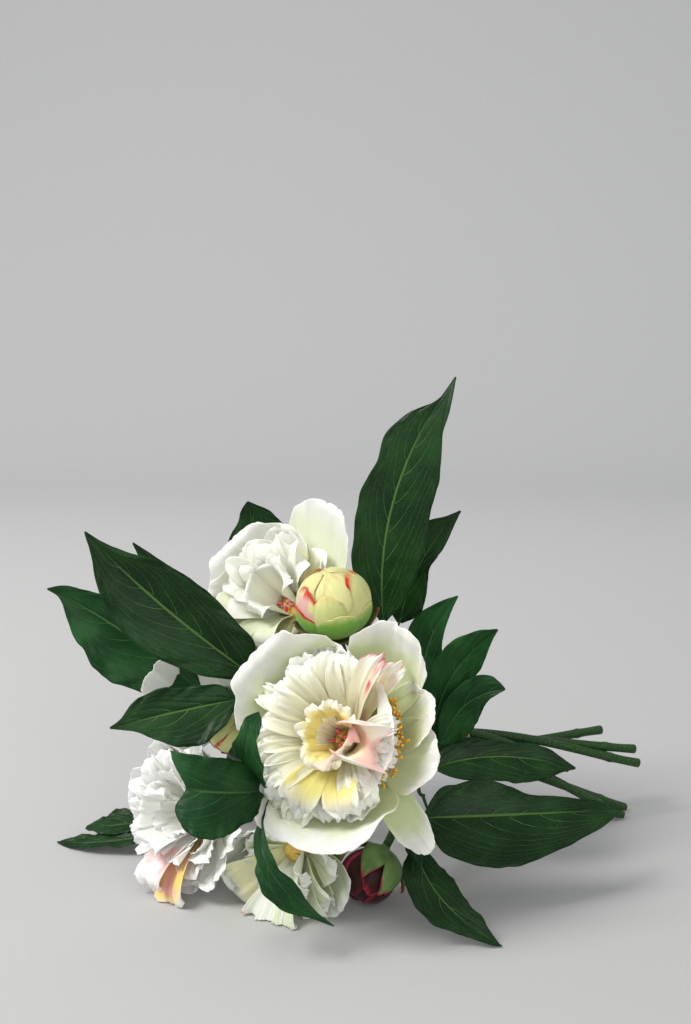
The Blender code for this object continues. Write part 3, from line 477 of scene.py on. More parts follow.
def petal_paint(name, white, deep, greens=(0.97, 0.68), warm=(0.95, 0.83, 0.24),
                hot=(0.88, 0.42, 0.06), pink=(0.90, 0.38, 0.36), rim=(0.72, 0.03, 0.10)):
    """Silk petal: white at the rim, green or warm towards the root, blushed by patches, with ribs
    that run from root to rim. The warm yellow towards the root is partly the silk's own colour and
    partly a painted glow of light shining through the petals in the hollows. greens says where
    along the petal the green sets in and is full."""
    shade = Shade(name, Specular_IOR_Level=0.2, Subsurface_Weight=0.4, Subsurface_Scale=0.003,
                  Sheen_Weight=0.1, Sheen_Roughness=0.5, Subsurface_Radius=(1.0, 0.92, 0.75))
    s, t, own = shade.vector("petal")
    heat, green, blush = shade.vector("tint")
    cloud = shade.noise(90.0, 3.0)
    along = shade.math("ADD", t, shade.math("MULTIPLY_ADD", cloud, 0.3, -0.15))
    color = shade.mix(shade.times(green, shade.ramp(along, *greens)), white, deep)
    # warm towards the root: partly the silk's own yellow, partly a painted glow of light through the
    # petals
    color = shade.mix(shade.times(heat, shade.ramp(along, 0.98, 0.50)), color, warm)
    color = shade.mix(shade.times(shade.ramp(heat, 1.05, 1.5), shade.ramp(along, 0.95, 0.55)), color, hot)
    color = shade.mix(shade.times(blush, shade.ramp(shade.noise(60.0), 0.40, 0.62)), color, pink)
    bleed = shade.times(shade.number("edge"), shade.ramp(cloud, 0.25, 0.55, 0.45, 1.0))
    color = shade.mix(bleed, color, rim)
    ribs = shade.streaks(shade.times(s, 11.0), shade.times(t, 0.9), shade.times(own, 40.0))
    shade.color(shade.mix(shade.ramp(ribs, 0.30, 0.55, 0.06, 0.0), color, deep))
    shade.rough(shade.ramp(ribs, 0.2, 0.8, 0.62, 0.48))
    cloth = shade.noise(2600.0, 1.0)
    shade.bump(shade.math("MULTIPLY_ADD", cloth, 0.15, ribs), 0.25, 0.0004)
    return shade.paint


def leaf_paint(name, dark, light, vein, rough=0.36):
    """Printed silk leaf: dark green with a pale rib, side veins and a fine net between them."""
    shade = Shade(name, Specular_IOR_Level=0.10, Subsurface_Weight=0.03, Subsurface_Scale=0.002,
                  Coat_Weight=0.06, Coat_Roughness=0.20)
    s, t, phase = shade.vector("leaf")
    wide = shade.math("ABSOLUTE", s)

    def from_crest(count):
        """How far off a vein's crest, with count veins to each side vein."""
        turn = shade.math("FRACT", phase if count == 1.0 else shade.times(phase, count))
        return shade.math("ABSOLUTE", shade.math("SUBTRACT", turn, 0.5))

    color = shade.mix(shade.ramp(shade.noise(45.0, 3.0), 0.35, 0.70), dark, light)
    net = shade.node("TexVoronoi", shade.place(), feature="DISTANCE_TO_EDGE")
    net.inputs["Scale"].default_value = 420.0
    color = shade.mix(shade.ramp(net.outputs["Distance"], 0.0, 0.10, 0.08, 0.0), color, vein)
    wander = shade.math("MULTIPLY_ADD", shade.noise(160.0, 1.0), 0.05, -0.025)
    side_vein = shade.ramp(shade.math("ADD", from_crest(1.0), wander), 0.006, 0.03, 0.62, 0.0)
    side_vein = shade.times(side_vein, shade.ramp(wide, 1.0, 0.80))
    color = shade.mix(shade.ramp(from_crest(5.0), 0.05, 0.30, 0.06, 0.0), color, vein)
    color = shade.mix(side_vein, color, vein)
    rib = shade.times(shade.ramp(wide, 0.012, 0.042, 0.85, 0.0), shade.ramp(t, 1.02, 0.55))
    shade.color(shade.mix(rib, color, vein))
    shade.rough(shade.ramp(shade.noise(300.0), 0.3, 0.7, rough, rough + 0.12))
    height = shade.math("MULTIPLY_ADD", shade.noise(3000.0, 1.0), 0.10, shade.times(side_vein, -0.5))
    shade.bump(height, 0.35, 0.0005)
    return shade.paint


def stem_paint():
    """Moulded green stem: faint lengthwise streaks, paler where it is cut."""
    shade = Shade("stem", Specular_IOR_Level=0.25)
    s, t, cut = shade.vector("stem")
    streak = shade.streaks(shade.times(s, 5.0), shade.times(t, 6.0), cut, scale=1.6)
    color = shade.mix(shade.ramp(streak, 0.35, 0.68), (0.014, 0.048, 0.012), (0.036, 0.092, 0.022))
    shade.color(shade.mix(shade.ramp(cut, 0.5, 1.0), color, (0.16, 0.17, 0.07)))
    shade.rough(shade.ramp(streak, 0.3, 0.7, 0.42, 0.55))
    shade.bump(streak, 0.3, 0.0006)
    return shade.paint


def sepal_paint():
    """Green sepals and calyx cups with dull red rims."""
    shade = Shade("sepal", Specular_IOR_Level=0.3, Subsurface_Weight=0.05, Subsurface_Scale=0.002)
    s, t, _ = shade.vector("petal")
    patch = shade.ramp(shade.noise(80.0), 0.35, 0.65)
    color = shade.mix(patch, (0.075, 0.150, 0.035), (0.150, 0.260, 0.075))
    rim = shade.ramp(shade.math("MAXIMUM", shade.math("ABSOLUTE", s), t), 0.72, 1.0, 0.0, 0.75)
    shade.color(shade.mix(shade.times(rim, shade.number("edge")), color, (0.30, 0.030, 0.035)))
    shade.rough(0.5)
    shade.bump(shade.noise(2200.0, 1.0), 0.25, 0.0004)
    return shade.paint


def grain_paint(name, low, high, scale, rough):
    """A rough colour that varies between two tones by grains of the given scale."""
    shade = Shade(name, Specular_IOR_Level=0.3)
    grain = shade.noise(scale, 3.0)
    shade.color(shade.mix(shade.ramp(grain, 0.35, 0.65), low, high))
    shade.rough(rough)
    shade.bump(grain, 0.5, 0.0004)
    return shade.paint


# ---- blooms -----------------------------------------------------------------------------
GUARDS = {  # bloom: azimuth, length, width, angle at the root, angle at the rim, cup, tilt
    "front": ((142, 73, 76, 84, 24, 44, 0.0), (186, 50, 32, 72, 12, 30, 0.2),
              (102, 56, 32, 74, 40, 30, 0.2), (60, 80, 48, 82, 30, 38, -0.2),
              (24, 62, 36, 82, 40, 30, 0.1), (-6, 60, 42, 84, 46, 30, 0.0),
              (-43, 72, 21, 88, 76, 20, 0.0), (-88, 72, 84, 94, 4, 40, 0.0),
              (2, 52, 64, 62, -8, 20, 0.0)),
    "back": ((146, 59, 66, 82, 28, 40, 0.0), (68, 69, 58, 78, 40, 26, 0.1),
             (104, 52, 36, 76, 30, 30, 0.2), (14, 46, 44, 72, 10, 36, 0.2),
             (-50, 42, 44, 72, 10, 36, -0.2), (-110, 48, 50, 78, 20, 36, 0.2),
             (198, 54, 54, 80, 30, 36, 0.2)),
    "left": ((60, 50, 50, 80, 28, 36, 0.24), (118, 54, 50, 78, 26, 36, 0.24),
             (172, 54, 52, 80, 30, 36, 0.24), (228, 44, 48, 74, 22, 36, 0.24),
             (284, 46, 46, 76, 20, 36, 0.24), (342, 40, 36, 76, -2, 36, 0.24)),
    "low": ((60, 42, 42, 80, 26, 36, 0.24), (130, 38, 38, 74, 10, 36, 0.24),
            (200, 48, 40, 78, 20, 30, 0.24), (255, 42, 42, 78, 24, 36, 0.24),
            (322, 45, 44, 80, 28, 36, 0.24)),
    "rear": ((100, 51, 47, 80, 28, 36, 0.24), (29, 82, 44, 76, 62, 24, 0.1),
             (-42, 51, 47, 80, 28, 36, 0.24), (-114, 51, 47, 80, 28, 36, 0.24),
             (174, 51, 47, 80, 28, 36, 0.24)),
}
RINGS = {  # bloom: rings of inner petals as count, length and width over radius, opening and rim
    # angle, and the azimuths they lie between
    "front": ((7, 0.82, 0.52, 62, 50, 95, 325),),
    "back": ((8, 0.86, 0.60, 62, 52, 0, 360), (5, 0.70, 0.60, 44, 30, 60, 260)),
    "left": ((9, 0.90, 0.56, 66, 58, 0, 360), (8, 0.80, 0.52, 54, 44, 0, 360),
             (7, 0.70, 0.46, 38, 28, 0, 360), (6, 0.56, 0.40, 20, 10, 0, 360)),
    "low": ((7, 0.84, 0.58, 62, 54, 0, 360), (4, 0.74, 0.54, 46, 36, 90, 240)),
    "rear": ((7, 0.84, 0.60, 60, 50, 0, 360), (5, 0.72, 0.54, 42, 30, 0, 360),
             (3, 0.60, 0.50, 24, 12, 0, 360)),
}
TINTS = {  # bloom: warm, green and blushed, for guards and then for inner petals
    "front": ((0.1, 0.80, 0.0), (0.35, 0.35, 0.0)),
    "back": ((0.05, 0.45, 0.0), (0.30, 0.25, 0.0)),
    "left": ((0.0, 0.10, 0.0), (0.10, 0.16, 0.0)),
    "low": ((0.05, 0.50, 0.0), (0.25, 0.50, 0.0)),
    "rear": ((0.0, 0.20, 0.0), (0.15, 0.25, 0.0)),
}
LIPS = {("front", 0): (62, 0.91), ("front", 6): (10, 0.9), ("front", 7): (60, 0.80),
        ("front", 8): (72, 0.73), ("back", 0): (56, 0.90)}
GUARD_SHAPE = (0.10, 0.60, 0.95, 1.0, 0.95)
CARPELS = 4
ANTHER_R, ANTHER_HALF = 0.78, 2.1  # thickest radius and half length
FILAMENT_RADII = (0.28, 0.26, 0.24, 0.22, 0.2, 0.2, 0.2)
CALM = {"back": 0.45}  # bloom whose inner petals are smoother than the others'
SILK_THICK, SEPAL_THICK, LEAF_THICK = 0.28, 0.5, 0.35
WHITE = (0.05, 0.10, 0.0)  # warm, green and blushed
CREAM = (0.30, 0.15, 0.0)
GREENISH = (0.10, 0.50, 0.0)
YELLOW = (1.0, 0.0, 0.0)
PEACH = (0.50, 0.0, 0.80)
STANDING = {  # bloom: groups of petals beside the rings, as count, first and last azimuth, reach from
    # the axis, height of the crest, width, cup, how far the end curls out, tint, red edge (2: streaked)
    "front": (
        (6, 80, 145, 43, 39, 24, 28, 18, CREAM, 0),
        (6, 160, 225, 39, 38, 22, 34, 20, CREAM, 0),
        (1, 158, 158, 53, 32, 17, 62, 10, GREENISH, 0),
        (2, 235, 255, 52, 32, 20, 34, 25, GREENISH, 0),
        (3, 245, 300, 47, 36, 27, 26, 32, WHITE, 0),
        (2, 255, 290, 41, 42, 22, 26, 25, YELLOW, 0),
        (6, 304, 375, 38, 38, 13, 34, 25, WHITE, 0),
        (1, 50, 50, 50, 35, 15, 34, 10, PEACH, 0),
        (1, 58, 58, 50, 46, 15, 36, 15, CREAM, 2),
        (4, 60, 200, 16, 41, 18, 30, -5, YELLOW, 0),
        (2, 262, 275, 17, 42, 21, 30, 45, YELLOW, 0),
        (1, 320, 320, 15, 46, 30, 30, 45, PEACH, 0.25),
        (1, 352, 352, 30, 45, 46, 130, 30, PEACH, 0),
        (4, 70, 190, 12, 31, 7, 30, 10, WHITE, 0.2),
    ),
    "back": (
        (5, 65, 195, 28, 36, 38, 46, -10, WHITE, 0),
        (3, 215, 275, 36, 35, 26, 34, 22, GREENISH, 0),
        (4, 45, 255, 15, 43, 26, 38, 0, WHITE, 0),
    ),
    "left": (
        (8, 80, 228, 38, 34, 28, 26, 17, WHITE, 0),
        (3, 100, 250, 18, 45, 22, 30, 20, WHITE, 0),
        (1, 274, 274, 41, 43, 25, 26, 15, (0.0, 0.1, 0.9), 0),
        (1, 291, 291, 49, 41, 24, 24, 10, (1.3, 0.0, 0.9), 0),
    ),
    "low": (
        (2, 205, 220, 38, 30, 26, 20, 10, (0.5, 0.3, 0.0), 0),
        (2, 245, 268, 30, 44, 15, 30, 10, WHITE, 1),
        (1, 291, 291, 30, 46, 16, 24, 10, GREENISH, 0),
        (2, 303, 325, 33, 30, 28, 32, 18, GREENISH, 0),
        (2, 340, 365, 20, 36, 16, 34, 20, WHITE, 0),
    ),
}


def bloom_place(name):
    spot, axis, _ = BLOOMS[name]
    return np.asarray(spot, float), facing(axis)


def make_guards(name):
    skin = Skin()
    for i, (azimuth, length, width, opens, rims, cup, tilt) in enumerate(GUARDS[name]):
        lean = [opens + (rims - opens) * (k / 4) ** 0.9 for k in range(5)]
        rib = leaning_rib(azimuth, length, lean, (3.5, 1.4 + 0.7 * (i % 2)))
        lip, lip_from = LIPS.get((name, i), (30, 0.92))
        add_petal(skin, bloom_place(name), f"guard {name} {i}", rib, tint=TINTS[name][0],
                  width=width, cup=(cup * 0.2, cup, cup, cup), shape=GUARD_SHAPE, tilt=tilt,
                  lip=lip, lip_from=lip_from, ruffle=1.0, waves=0.9, notches=8, depth=0.018,
                  crinkle=0.25, size=(38, 26) if name in ("rear", "low") else (46, 32))
    return skin


def make_inner(name):
    skin = Skin()
    radius = BLOOMS[name][2]
    chance = random.Random("inner " + name)
    heat, green, blush = TINTS[name][1]
    calm = CALM.get(name, 1.0)
    for ring, (count, long, wide, opens, rims, first, last) in enumerate(RINGS[name]):
        for i in range(count):
            length = radius * long * chance.uniform(0.88, 1.1)
            spread = chance.uniform(-5, 5)
            curl = chance.uniform(-22, 14)
            lean = (opens + spread + 10, opens + spread, (opens + rims) / 2, rims, rims + curl)
            azimuth = first + (last - first) / count * (i + 0.5 * ring) + chance.uniform(-9, 9)
            rib = leaning_rib(azimuth, length, lean, (5.6 - 0.8 * ring, 8.0 + 1.2 * ring),
                              chance.uniform(-14, 14))
            add_petal(skin, bloom_place(name), f"inner {name} {ring} {i}", rib,
                      tint=(heat * chance.uniform(0.6, 1.3), green * chance.uniform(0.5, 1.3),
                            blush * chance.uniform(0, 2)),
                      width=radius * wide * chance.uniform(0.85, 1.2), cup=(20, 40, 34, 24),
                      shape=(0.22, 0.50, 0.85, 1.0, 0.86), round_off=0.26, ruffle=1.9 * calm,
                      waves=0.8, notches=6, depth=0.05 * calm, crinkle=0.22, tilt=0.25 * calm,
                      twist=chance.uniform(-14, 14) * calm,
                      lip=chance.uniform(0, 40), lip_from=0.84, size=(32, 16))
    for group, row in enumerate(STANDING.get(name, ())):
        count, first, last, reach, top, width, cup, lip, tint, edge = row
        for i in range(count):
            azimuth = first + (last - first) * i / max(count - 1, 1) + chance.uniform(-3, 3)
            rib = standing_rib(azimuth, reach * chance.uniform(0.94, 1.08), top + chance.uniform(-2, 2))
            add_petal(skin, bloom_place(name), f"standing {name} {group} {i}", rib, tint=tint,
                      width=width * chance.uniform(0.9, 1.15), cup=(cup * 0.6, cup, cup, cup * 0.8),
                      shape=(0.35, 0.7, 0.95, 1.0, 0.84), round_off=0.3, ruffle=1.9 * calm, waves=1.0,
                      notches=6, depth=0.06 * calm, crinkle=0.22, lip=lip, lip_from=0.78,
                      edge=min(edge, 1), streak=1.0 if edge > 1 else 0.0,
                      size=(38, 20) if width > 12 else (20, 16))
    return skin


def turned(place, profile, sides, ridges=0.0):
    """A profile of radii and heights turned round a flower's axis. ridges raises five ridges on
    it, by that share of the radius."""
    spot, frame_of = place
    profile = np.array(profile)
    turn = np.linspace(0, 2 * math.pi, sides, endpoint=False)
    ridged = 1 + ridges * np.cos(5 * turn)
    across = [profile[:, :1] * way(turn) * ridged for way in (np.cos, np.sin)]
    return spot + np.stack([*across, profile[:, 1:] + 0 * turn], -1) @ frame_of.T


def make_cup(place, profile, sides, ridges=0.0):
    """The green cup at a flower's foot."""
    skin = Skin()
    grid = turned(place, profile, sides, ridges)
    skin.add(grid, closed=True, petal=np.zeros(grid.shape), edge=np.zeros(grid.shape[:2]))
    return skin


def make_core(name):
    """The knob that the petals and stamens stand on."""
    skin = Skin()
    profile = [(0.0, 0.4), (6.0, 0.4), (7.4, 2.0), (7.4, 9.4), (6.2, 12.0), (0.0, CORE_TOP)]
    skin.add(turned(bloom_place(name), profile, 24))
    return skin


def make_stamens(name, count, reach, band, sides):
    """Filaments with grainy anthers that leave the knob low down and then rise. band is how far
    they lean, and sides the azimuths they lie between."""
    threads, grains = Skin(), Skin()
    spot, frame_of = bloom_place(name)
    chance = random.Random("stamens " + name)
    first, last = sides

    def jitter(most):
        return np.array([chance.uniform(-most, most) for _ in range(3)])

    for i in range(count):
        out = outward(first + (last - first) / count * i + chance.uniform(-5, 5))
        lean = math.radians(chance.uniform(*band))
        foot = out * 6.8 + UP * chance.uniform(3, 8)
        length = reach * chance.uniform(0.82, 1.12)
        tip = foot + length * (out * math.sin(lean) + UP * math.cos(lean)) + jitter(1.5)
        bow = foot + out * (length * math.sin(lean) * 0.7) + UP * (0.15 * length)
        x = np.linspace(0, 1, 7)[:, None]
        line = spot + ((1 - x) ** 2 * foot + 2 * x * (1 - x) * bow + x * x * tip) @ frame_of.T
        threads.add(tube_grid(line, FILAMENT_RADII, sides=5), closed=True)
        heading = unit(line[-1] - line[-2] + jitter(1) * 0.8)
        x = np.linspace(-1, 1, 7)
        radii = ANTHER_R * np.sqrt(np.maximum(1 - x**2, 0.02)) * (1 + 0.12 * np.cos(9 * x))
        grains.add(tube_grid(line[-1] + heading * (x * ANTHER_HALF)[:, None], radii, sides=7),
                   closed=True)
    return threads, grains


def make_carpels(name):
    """Plump pointed carpels with curled stigmas, standing on the middle of the knob."""
    bodies, tips = Skin(), Skin()
    spot, frame_of = bloom_place(name)
    chance = random.Random("carpels " + name)
    rise = 8.5 if name == "front" else 3.0
    for i in range(CARPELS):
        side = outward(360 / CARPELS * i + 20)
        x = np.linspace(0, 1, 9)[:, None]
        line = side * (1.6 + 1.2 * x) + UP * (CORE_TOP - 0.6 + rise * x)
        radii = 1.55 * np.sin(math.pi * np.clip(0.12 + 0.8 * x[:, 0], 0, 1)) ** 0.7
        bodies.add(tube_grid(spot + line @ frame_of.T, radii, sides=10), closed=True)
        curl = 1.7 * math.pi * x
        hook = line[-1] + side * (1.5 * (1 - np.cos(curl)))
        hook = hook + UP * (1.8 * np.sin(curl) + 1.4 * x) * chance.uniform(0.8, 1.1)
        tips.add(tube_grid(spot + hook @ frame_of.T, 0.75 - 0.35 * x[:, 0], sides=8), closed=True)
    return bodies, tips


def make_calyx(name):
    """The green cup under a bloom, with five narrow sepals bent back from it."""
    place = bloom_place(name)
    profile = [(0.0, -CALYX_DEPTH), (2.9, -CALYX_DEPTH), (3.4, -7.6), (4.3, -5.2), (5.6, -2.4),
               (6.6, -0.4), (6.0, 0.0), (0.0, 0.0)]
    sepals = Skin()
    for i in range(5):
        rib = leaning_rib(72 * i + 30, 17 + 3 * (i % 2), (112, 106, 100, 92), (3.6, -3.4))
        add_petal(sepals, place, f"sepal {name} {i}", rib, edge=1.0, width=9.5, cup=30,
                  shape=(0.45, 0.9, 1.0, 0.75, 0.3), round_off=0.35, ruffle=0.5, notches=0, depth=0.0,
                  crinkle=0.1, size=(12, 14))
    return make_cup(place, profile, 28, ridges=0.05), sepals


# ---- buds -------------------------------------------------------------------------------
WRAPS = {  # bud: its petals from the inside out as azimuth, arc in degrees, width over radius,
    # tint and how red the rim is
    "top": ((90, 186, 1.9, (0.9, 0.1, 0.0), 0.2), (210, 184, 1.9, (0.8, 0.1, 0.0), 0.2),
            (330, 182, 1.9, (0.9, 0.1, 0.0), 0.3), (150, 150, 1.8, (0.6, 0.6, 0.0), 0.8),
            (236, 150, 1.8, (0.0, 0.1, 1.5), 1.4), (292, 140, 1.7, (1.0, 0.4, 0.0), 0.3),
            (12, 160, 2.1, (1.0, 0.4, 0.0), 1.2), (80, 120, 1.8, (0.0, 0.9, 0.0), 0.8),
            (232, 112, 1.7, (0.0, 1.0, 0.0), 1.6), (306, 104, 1.9, (0.1, 1.0, 0.0), 0.1),
            (0, 98, 1.6, (0.0, 1.0, 0.0), 0.1), (150, 108, 1.8, (0.0, 1.0, 0.0), 0.5)),
    "low": ((90, 178, 1.9, (0.0, 0.1, 0.0), 0.3), (210, 176, 1.9, (0.0, 0.1, 0.0), 0.3),
            (330, 174, 1.9, (0.0, 0.1, 0.0), 0.5), (30, 150, 1.8, (0.0, 0.2, 0.0), 1.0),
            (140, 146, 1.8, (0.0, 0.2, 1.6), 1.0), (262, 140, 1.9, (0.0, 0.3, 1.6), 1.0),
            (0, 120, 1.6, (0.0, 0.9, 0.0), 1.0)),
    "left": ((90, 180, 1.9, (0.3, 0.2, 0.0), 0.5), (210, 178, 1.9, (0.3, 0.2, 0.0), 0.6),
             (330, 172, 1.9, (0.4, 0.2, 0.0), 1.6), (150, 150, 1.8, (0.3, 0.2, 0.4), 1.8),
             (270, 140, 1.8, (0.3, 0.2, 0.2), 1.6)),
}
BUD_SEPALS = {  # bud: its sepals as azimuth, reach and width over radius, and how red the rim is
    "top": ((25, 1.35, 0.95, 1.0), (115, 0.95, 0.95, 1.0), (205, 1.25, 0.95, 1.0), (285, 0.9, 1.0, 1.0)),
    "low": ((18, 2.5, 1.0, 1.6), (62, 2.3, 1.0, 1.6), (130, 2.5, 0.95, 1.6), (200, 1.9, 0.8, 1.6),
            (330, 1.7, 0.9, 1.6)),
    "left": ((25, 1.35, 0.95, 1.0), (115, 1.2, 0.95, 1.0), (205, 1.5, 0.95, 1.0), (295, 1.1, 0.95, 1.0)),
}


def make_bud(name):
    """A closed bud: petals wrapped one over the next round a globe, and its sepals."""
    spot, axis, radius = BUDS[name]
    place = np.asarray(spot, float), facing(axis)
    petals, sepals = Skin(), Skin()
    round_it = np.linspace(0, 2 * math.pi, 60, endpoint=False)[None, :]
    climb = np.linspace(0.02, math.pi, 40)[:, None]
    fold = (3 * round_it / (2 * math.pi) + 0.55 * climb + 1.0) % 1.0
    shell = radius * (0.80 + 0.045 * fold * np.sin(climb) ** 0.5)
    heart = np.stack([shell * np.sin(climb) * np.cos(round_it), shell * np.sin(climb) * np.sin(round_it),
                      radius * 1.02 - shell * np.cos(climb)], -1)
    petals.add(place[0] + heart @ place[1].T, closed=True, edge=0 * fold,
               petal=np.stack([2 * fold - 1, climb / math.pi + 0 * fold, 0 * fold], -1),
               tint=np.broadcast_to(np.array(WRAPS[name][0][3], float), heart.shape))
    for i, (azimuth, arc, wide, tint, edge) in enumerate(WRAPS[name]):
        layer = radius * (0.86 + 0.014 * i)
        lean = [94 - arc * k / 4 for k in range(5)]
        rib = leaning_rib(azimuth, layer * math.radians(arc), lean, (0.4, radius * 0.14 - 0.28 * i))
        add_petal(petals, place, f"wrap {name} {i}", rib, tint=tint, edge=edge, width=layer * wide,
                  cup=(8, 50, 62, 62, 50), shape=(0.15, 0.80, 1.05, 0.92, 0.5), round_off=0.2,
                  tilt=0.03, ruffle=0.35, waves=0.8, notches=4, depth=0.03, crinkle=0.12, size=(30, 24))
    for i, (azimuth, reach, wide, edge) in enumerate(BUD_SEPALS[name]):
        shell = radius * 1.07
        lean = [92 - math.degrees(reach * radius / shell) * k / 4 for k in range(5)]
        rib = leaning_rib(azimuth, reach * radius, lean, (3.0, -2.2))
        add_petal(sepals, place, f"bud sepal {name} {i}", rib, edge=edge, width=radius * wide, cup=34,
                  shape=(0.4, 0.9, 1.0, 0.8, 0.35), round_off=0.3, ruffle=0.6, notches=1, depth=0.02,
                  crinkle=0.15, size=(16, 18))
    profile = [(0.0, -BUD_CUP_DEPTH), (2.7, -BUD_CUP_DEPTH), (3.2, -4.2), (4.8, -2.7), (5.2, -1.6),
               (4.0, -1.2), (0.0, -1.2)]
    return petals, sepals, make_cup(place, profile, 24)


# ---- leaves -----------------------------------------------------------------------------
VEIN_STEP = 17.0  # along the rib
LEAF_FOLD = math.radians(14.0)


def leaf_grid(chance, base, middle, tip, face, twist, left, right, ends):
    """One leaflet as rows of points, mm, with its s across, t along and vein phase. ends is its
    length at even steps from margin to margin, over the length of the rib."""
    base, middle, tip = (np.asarray(p, float) for p in (base, middle, tip))
    handle = 2 * middle - (base + tip) / 2
    s = np.linspace(-1, 1, 29)[None, :]
    t = np.linspace(0, 1, 72)[:, None] + 0.0 * s
    half = np.where(s > 0, eased(right, t), eased(left, t))
    middle_half = (eased(left, t) + eased(right, t)) / 2
    half = middle_half + (half - middle_half) * np.minimum(1.0, np.abs(s) * 4)
    half = np.maximum(half, 0.25) * (1 + 0.02 * wavy(t + 0.2 * s, chance, 4.0) * np.sin(math.pi * t))
    q = t * eased(ends, (s + 1) / 2)
    u = q[..., None]
    rib = (1 - u) ** 2 * base + 2 * u * (1 - u) * handle + u * u * tip
    along = unit((1 - u) * (handle - base) + u * (tip - handle))
    side = unit(np.cross(along, unit(face)))
    up = np.cross(side, along)
    turn = (math.radians(twist) * (q - 0.4))[..., None]
    side, up = side * np.cos(turn) + up * np.sin(turn), up * np.cos(turn) - side * np.sin(turn)
    span = float(np.linalg.norm(tip - base))
    wide = float(max(max(left), max(right)))
    climb = wide / span * (0.9 * np.abs(s) + 3.4 * np.abs(s) ** 2.4)
    phase = (t - climb) / (VEIN_STEP / span) + 0.5 * (s > 0)
    small = np.minimum(1.0, half / 8)
    quilt = 0.22 * np.cos(2 * math.pi * phase) * small * np.abs(s) ** 0.5
    raised = np.abs(s) * half * math.sin(LEAF_FOLD)
    raised = raised + 1.2 * s * s * np.sin(9.0 * t + left[5] + right[5] + 1.3 * s) * small
    raised = raised + 1.3 * np.abs(s) ** 3 * wavy(t + 0.3 * s, chance, 3.0) * small
    raised = raised + quilt - 0.45 * np.exp(-(s / 0.05) ** 2) * small
    grid = rib + side * (s * half * math.cos(LEAF_FOLD))[..., None] + up * raised[..., None]
    return grid, s + 0 * t, t, phase


def waist_axes():
    """At the crossing of the stems: the way to the heads, and front and up square to it."""
    main = unit(HEADWARD)
    front = unit(np.array([0, -1, 0]) - main * np.dot((0, -1, 0), main))
    return main, front, np.cross(main, front)


def stem_curves(name):
    """Two cubic curves from the waist: one to the head and one to the cut end."""
    (kind, head), slot, end = STEMS[name]
    main, front, up = waist_axes()
    waist, way = np.asarray(NECK), main
    if slot is not None:
        a = math.radians(slot - 90)
        waist = waist + WAIST_R * (math.cos(a) * front + math.sin(a) * up)
        way = unit(main + SPIRAL * (-math.sin(a) * front + math.cos(a) * up))
    spot, axis, _ = (BLOOMS if kind == "bloom" else BUDS)[head]
    drop = CALYX_DEPTH if kind == "bloom" else BUD_CUP_DEPTH
    axis = unit(axis)
    foot = np.asarray(spot, float) - axis * (drop + GAP)
    far = np.linalg.norm(foot - waist)
    to_head = (waist, waist + way * far * 0.42, foot - axis * far * 0.36, foot)
    end = np.asarray(end, float)
    far = np.linalg.norm(end - waist)
    to_end = (waist, waist - way * far * 0.4, end - unit(end - waist) * far * 0.3, end)
    return to_head, to_end


HEAD_STOPS = (0, 0.25, 0.5, 0.75, 0.96, 1)


def leaf_seat(stem, where, towards):
    """The spot just off a stem's skin that faces a place, and the direction outwards."""
    points = bezier(stem_curves(stem)[0], HEAD_STOPS)
    spot = np.array([np.interp(where, HEAD_STOPS, row) for row in points.T])
    after = int(np.searchsorted(HEAD_STOPS, where))
    along = unit(points[after] - points[after - 1])
    side = np.asarray(towards, float) - spot
    out = unit(side - along * np.dot(side, along))
    return spot + out * (STEM_R + GAP), out


def make_leaf(name):
    stem, where, fork, leaflets = LEAVES[name]
    fork = np.asarray(fork, float)
    seat, out = leaf_seat(stem, where, fork)
    far = np.linalg.norm(fork - seat)
    ribs = [unit(np.asarray(middle, float) - base) for base, middle, *_ in leaflets]
    heading = unit(sum(ribs))
    stalk = bezier((seat - out * 0.6, seat + out * far * 0.3, fork - heading * far * 0.3, fork),
                   np.linspace(0, 1, 14))
    blades, stalks = Skin(), Skin()
    zero = np.zeros((16, 8, 3))
    stalks.add(tube_grid(stalk, np.linspace(1.25, 1.0, 14), sides=8), closed=True, stem=zero)
    for number, (leaflet, rib) in enumerate(zip(leaflets, ribs)):
        base = np.asarray(leaflet[0], float)
        x = np.linspace(0, 1, 8)[:, None]
        branch = (fork - heading * 1.2) * (1 - x) + (base + rib * 4) * x
        stalks.add(tube_grid(branch, np.linspace(1.0, 0.55, 8), sides=8), closed=True, stem=zero[:10])
        chance = random.Random(f"leaf {name} {number}")
        grid, s, t, phase = leaf_grid(chance, *leaflet, LOBED.get((name, number), (1.0, 1.0)))
        blades.add(grid, leaf=np.stack([s, t, phase], -1))
    return blades, stalks


# ---- stems and tie ----------------------------------------------------------------------
def make_stem(name):
    """A stem with low joints, a little thicker at its cut end and thinner towards its head."""
    to_head, to_end = stem_curves(name)
    x = np.linspace(0, 1, 40)
    line = np.concatenate([bezier(to_end, x[::-1])[:-1], bezier(to_head, x)])
    back = np.concatenate([x[::-1][:-1], 0 * x])
    ahead = np.concatenate([0 * x[:-1], x])
    joints = swell(back, 0.82, 0.018, 0.17) + swell(back, 0.80, 0.05, 0.05)
    joints = joints + swell(ahead, 0.42, 0.03, 0.14)
    radii = STEM_R * (0.98 + joints + 0.10 * np.clip((back - 0.9) / 0.1, 0, 1) - 0.08 * ahead)
    sides = 20
    grid = tube_grid(line, radii, sides=sides)
    turn = np.linspace(0, 1, sides)[None, :] + 0 * grid[..., 0]
    run = np.concatenate([[0], np.arange(len(line)), [len(line) - 1]])[:, None] * 0.2 + 0 * turn
    cut = 0 * turn
    cut[0] = 1.0
    skin = Skin()
    skin.add(grid, closed=True, stem=np.stack([turn, run, cut], -1))
    return skin


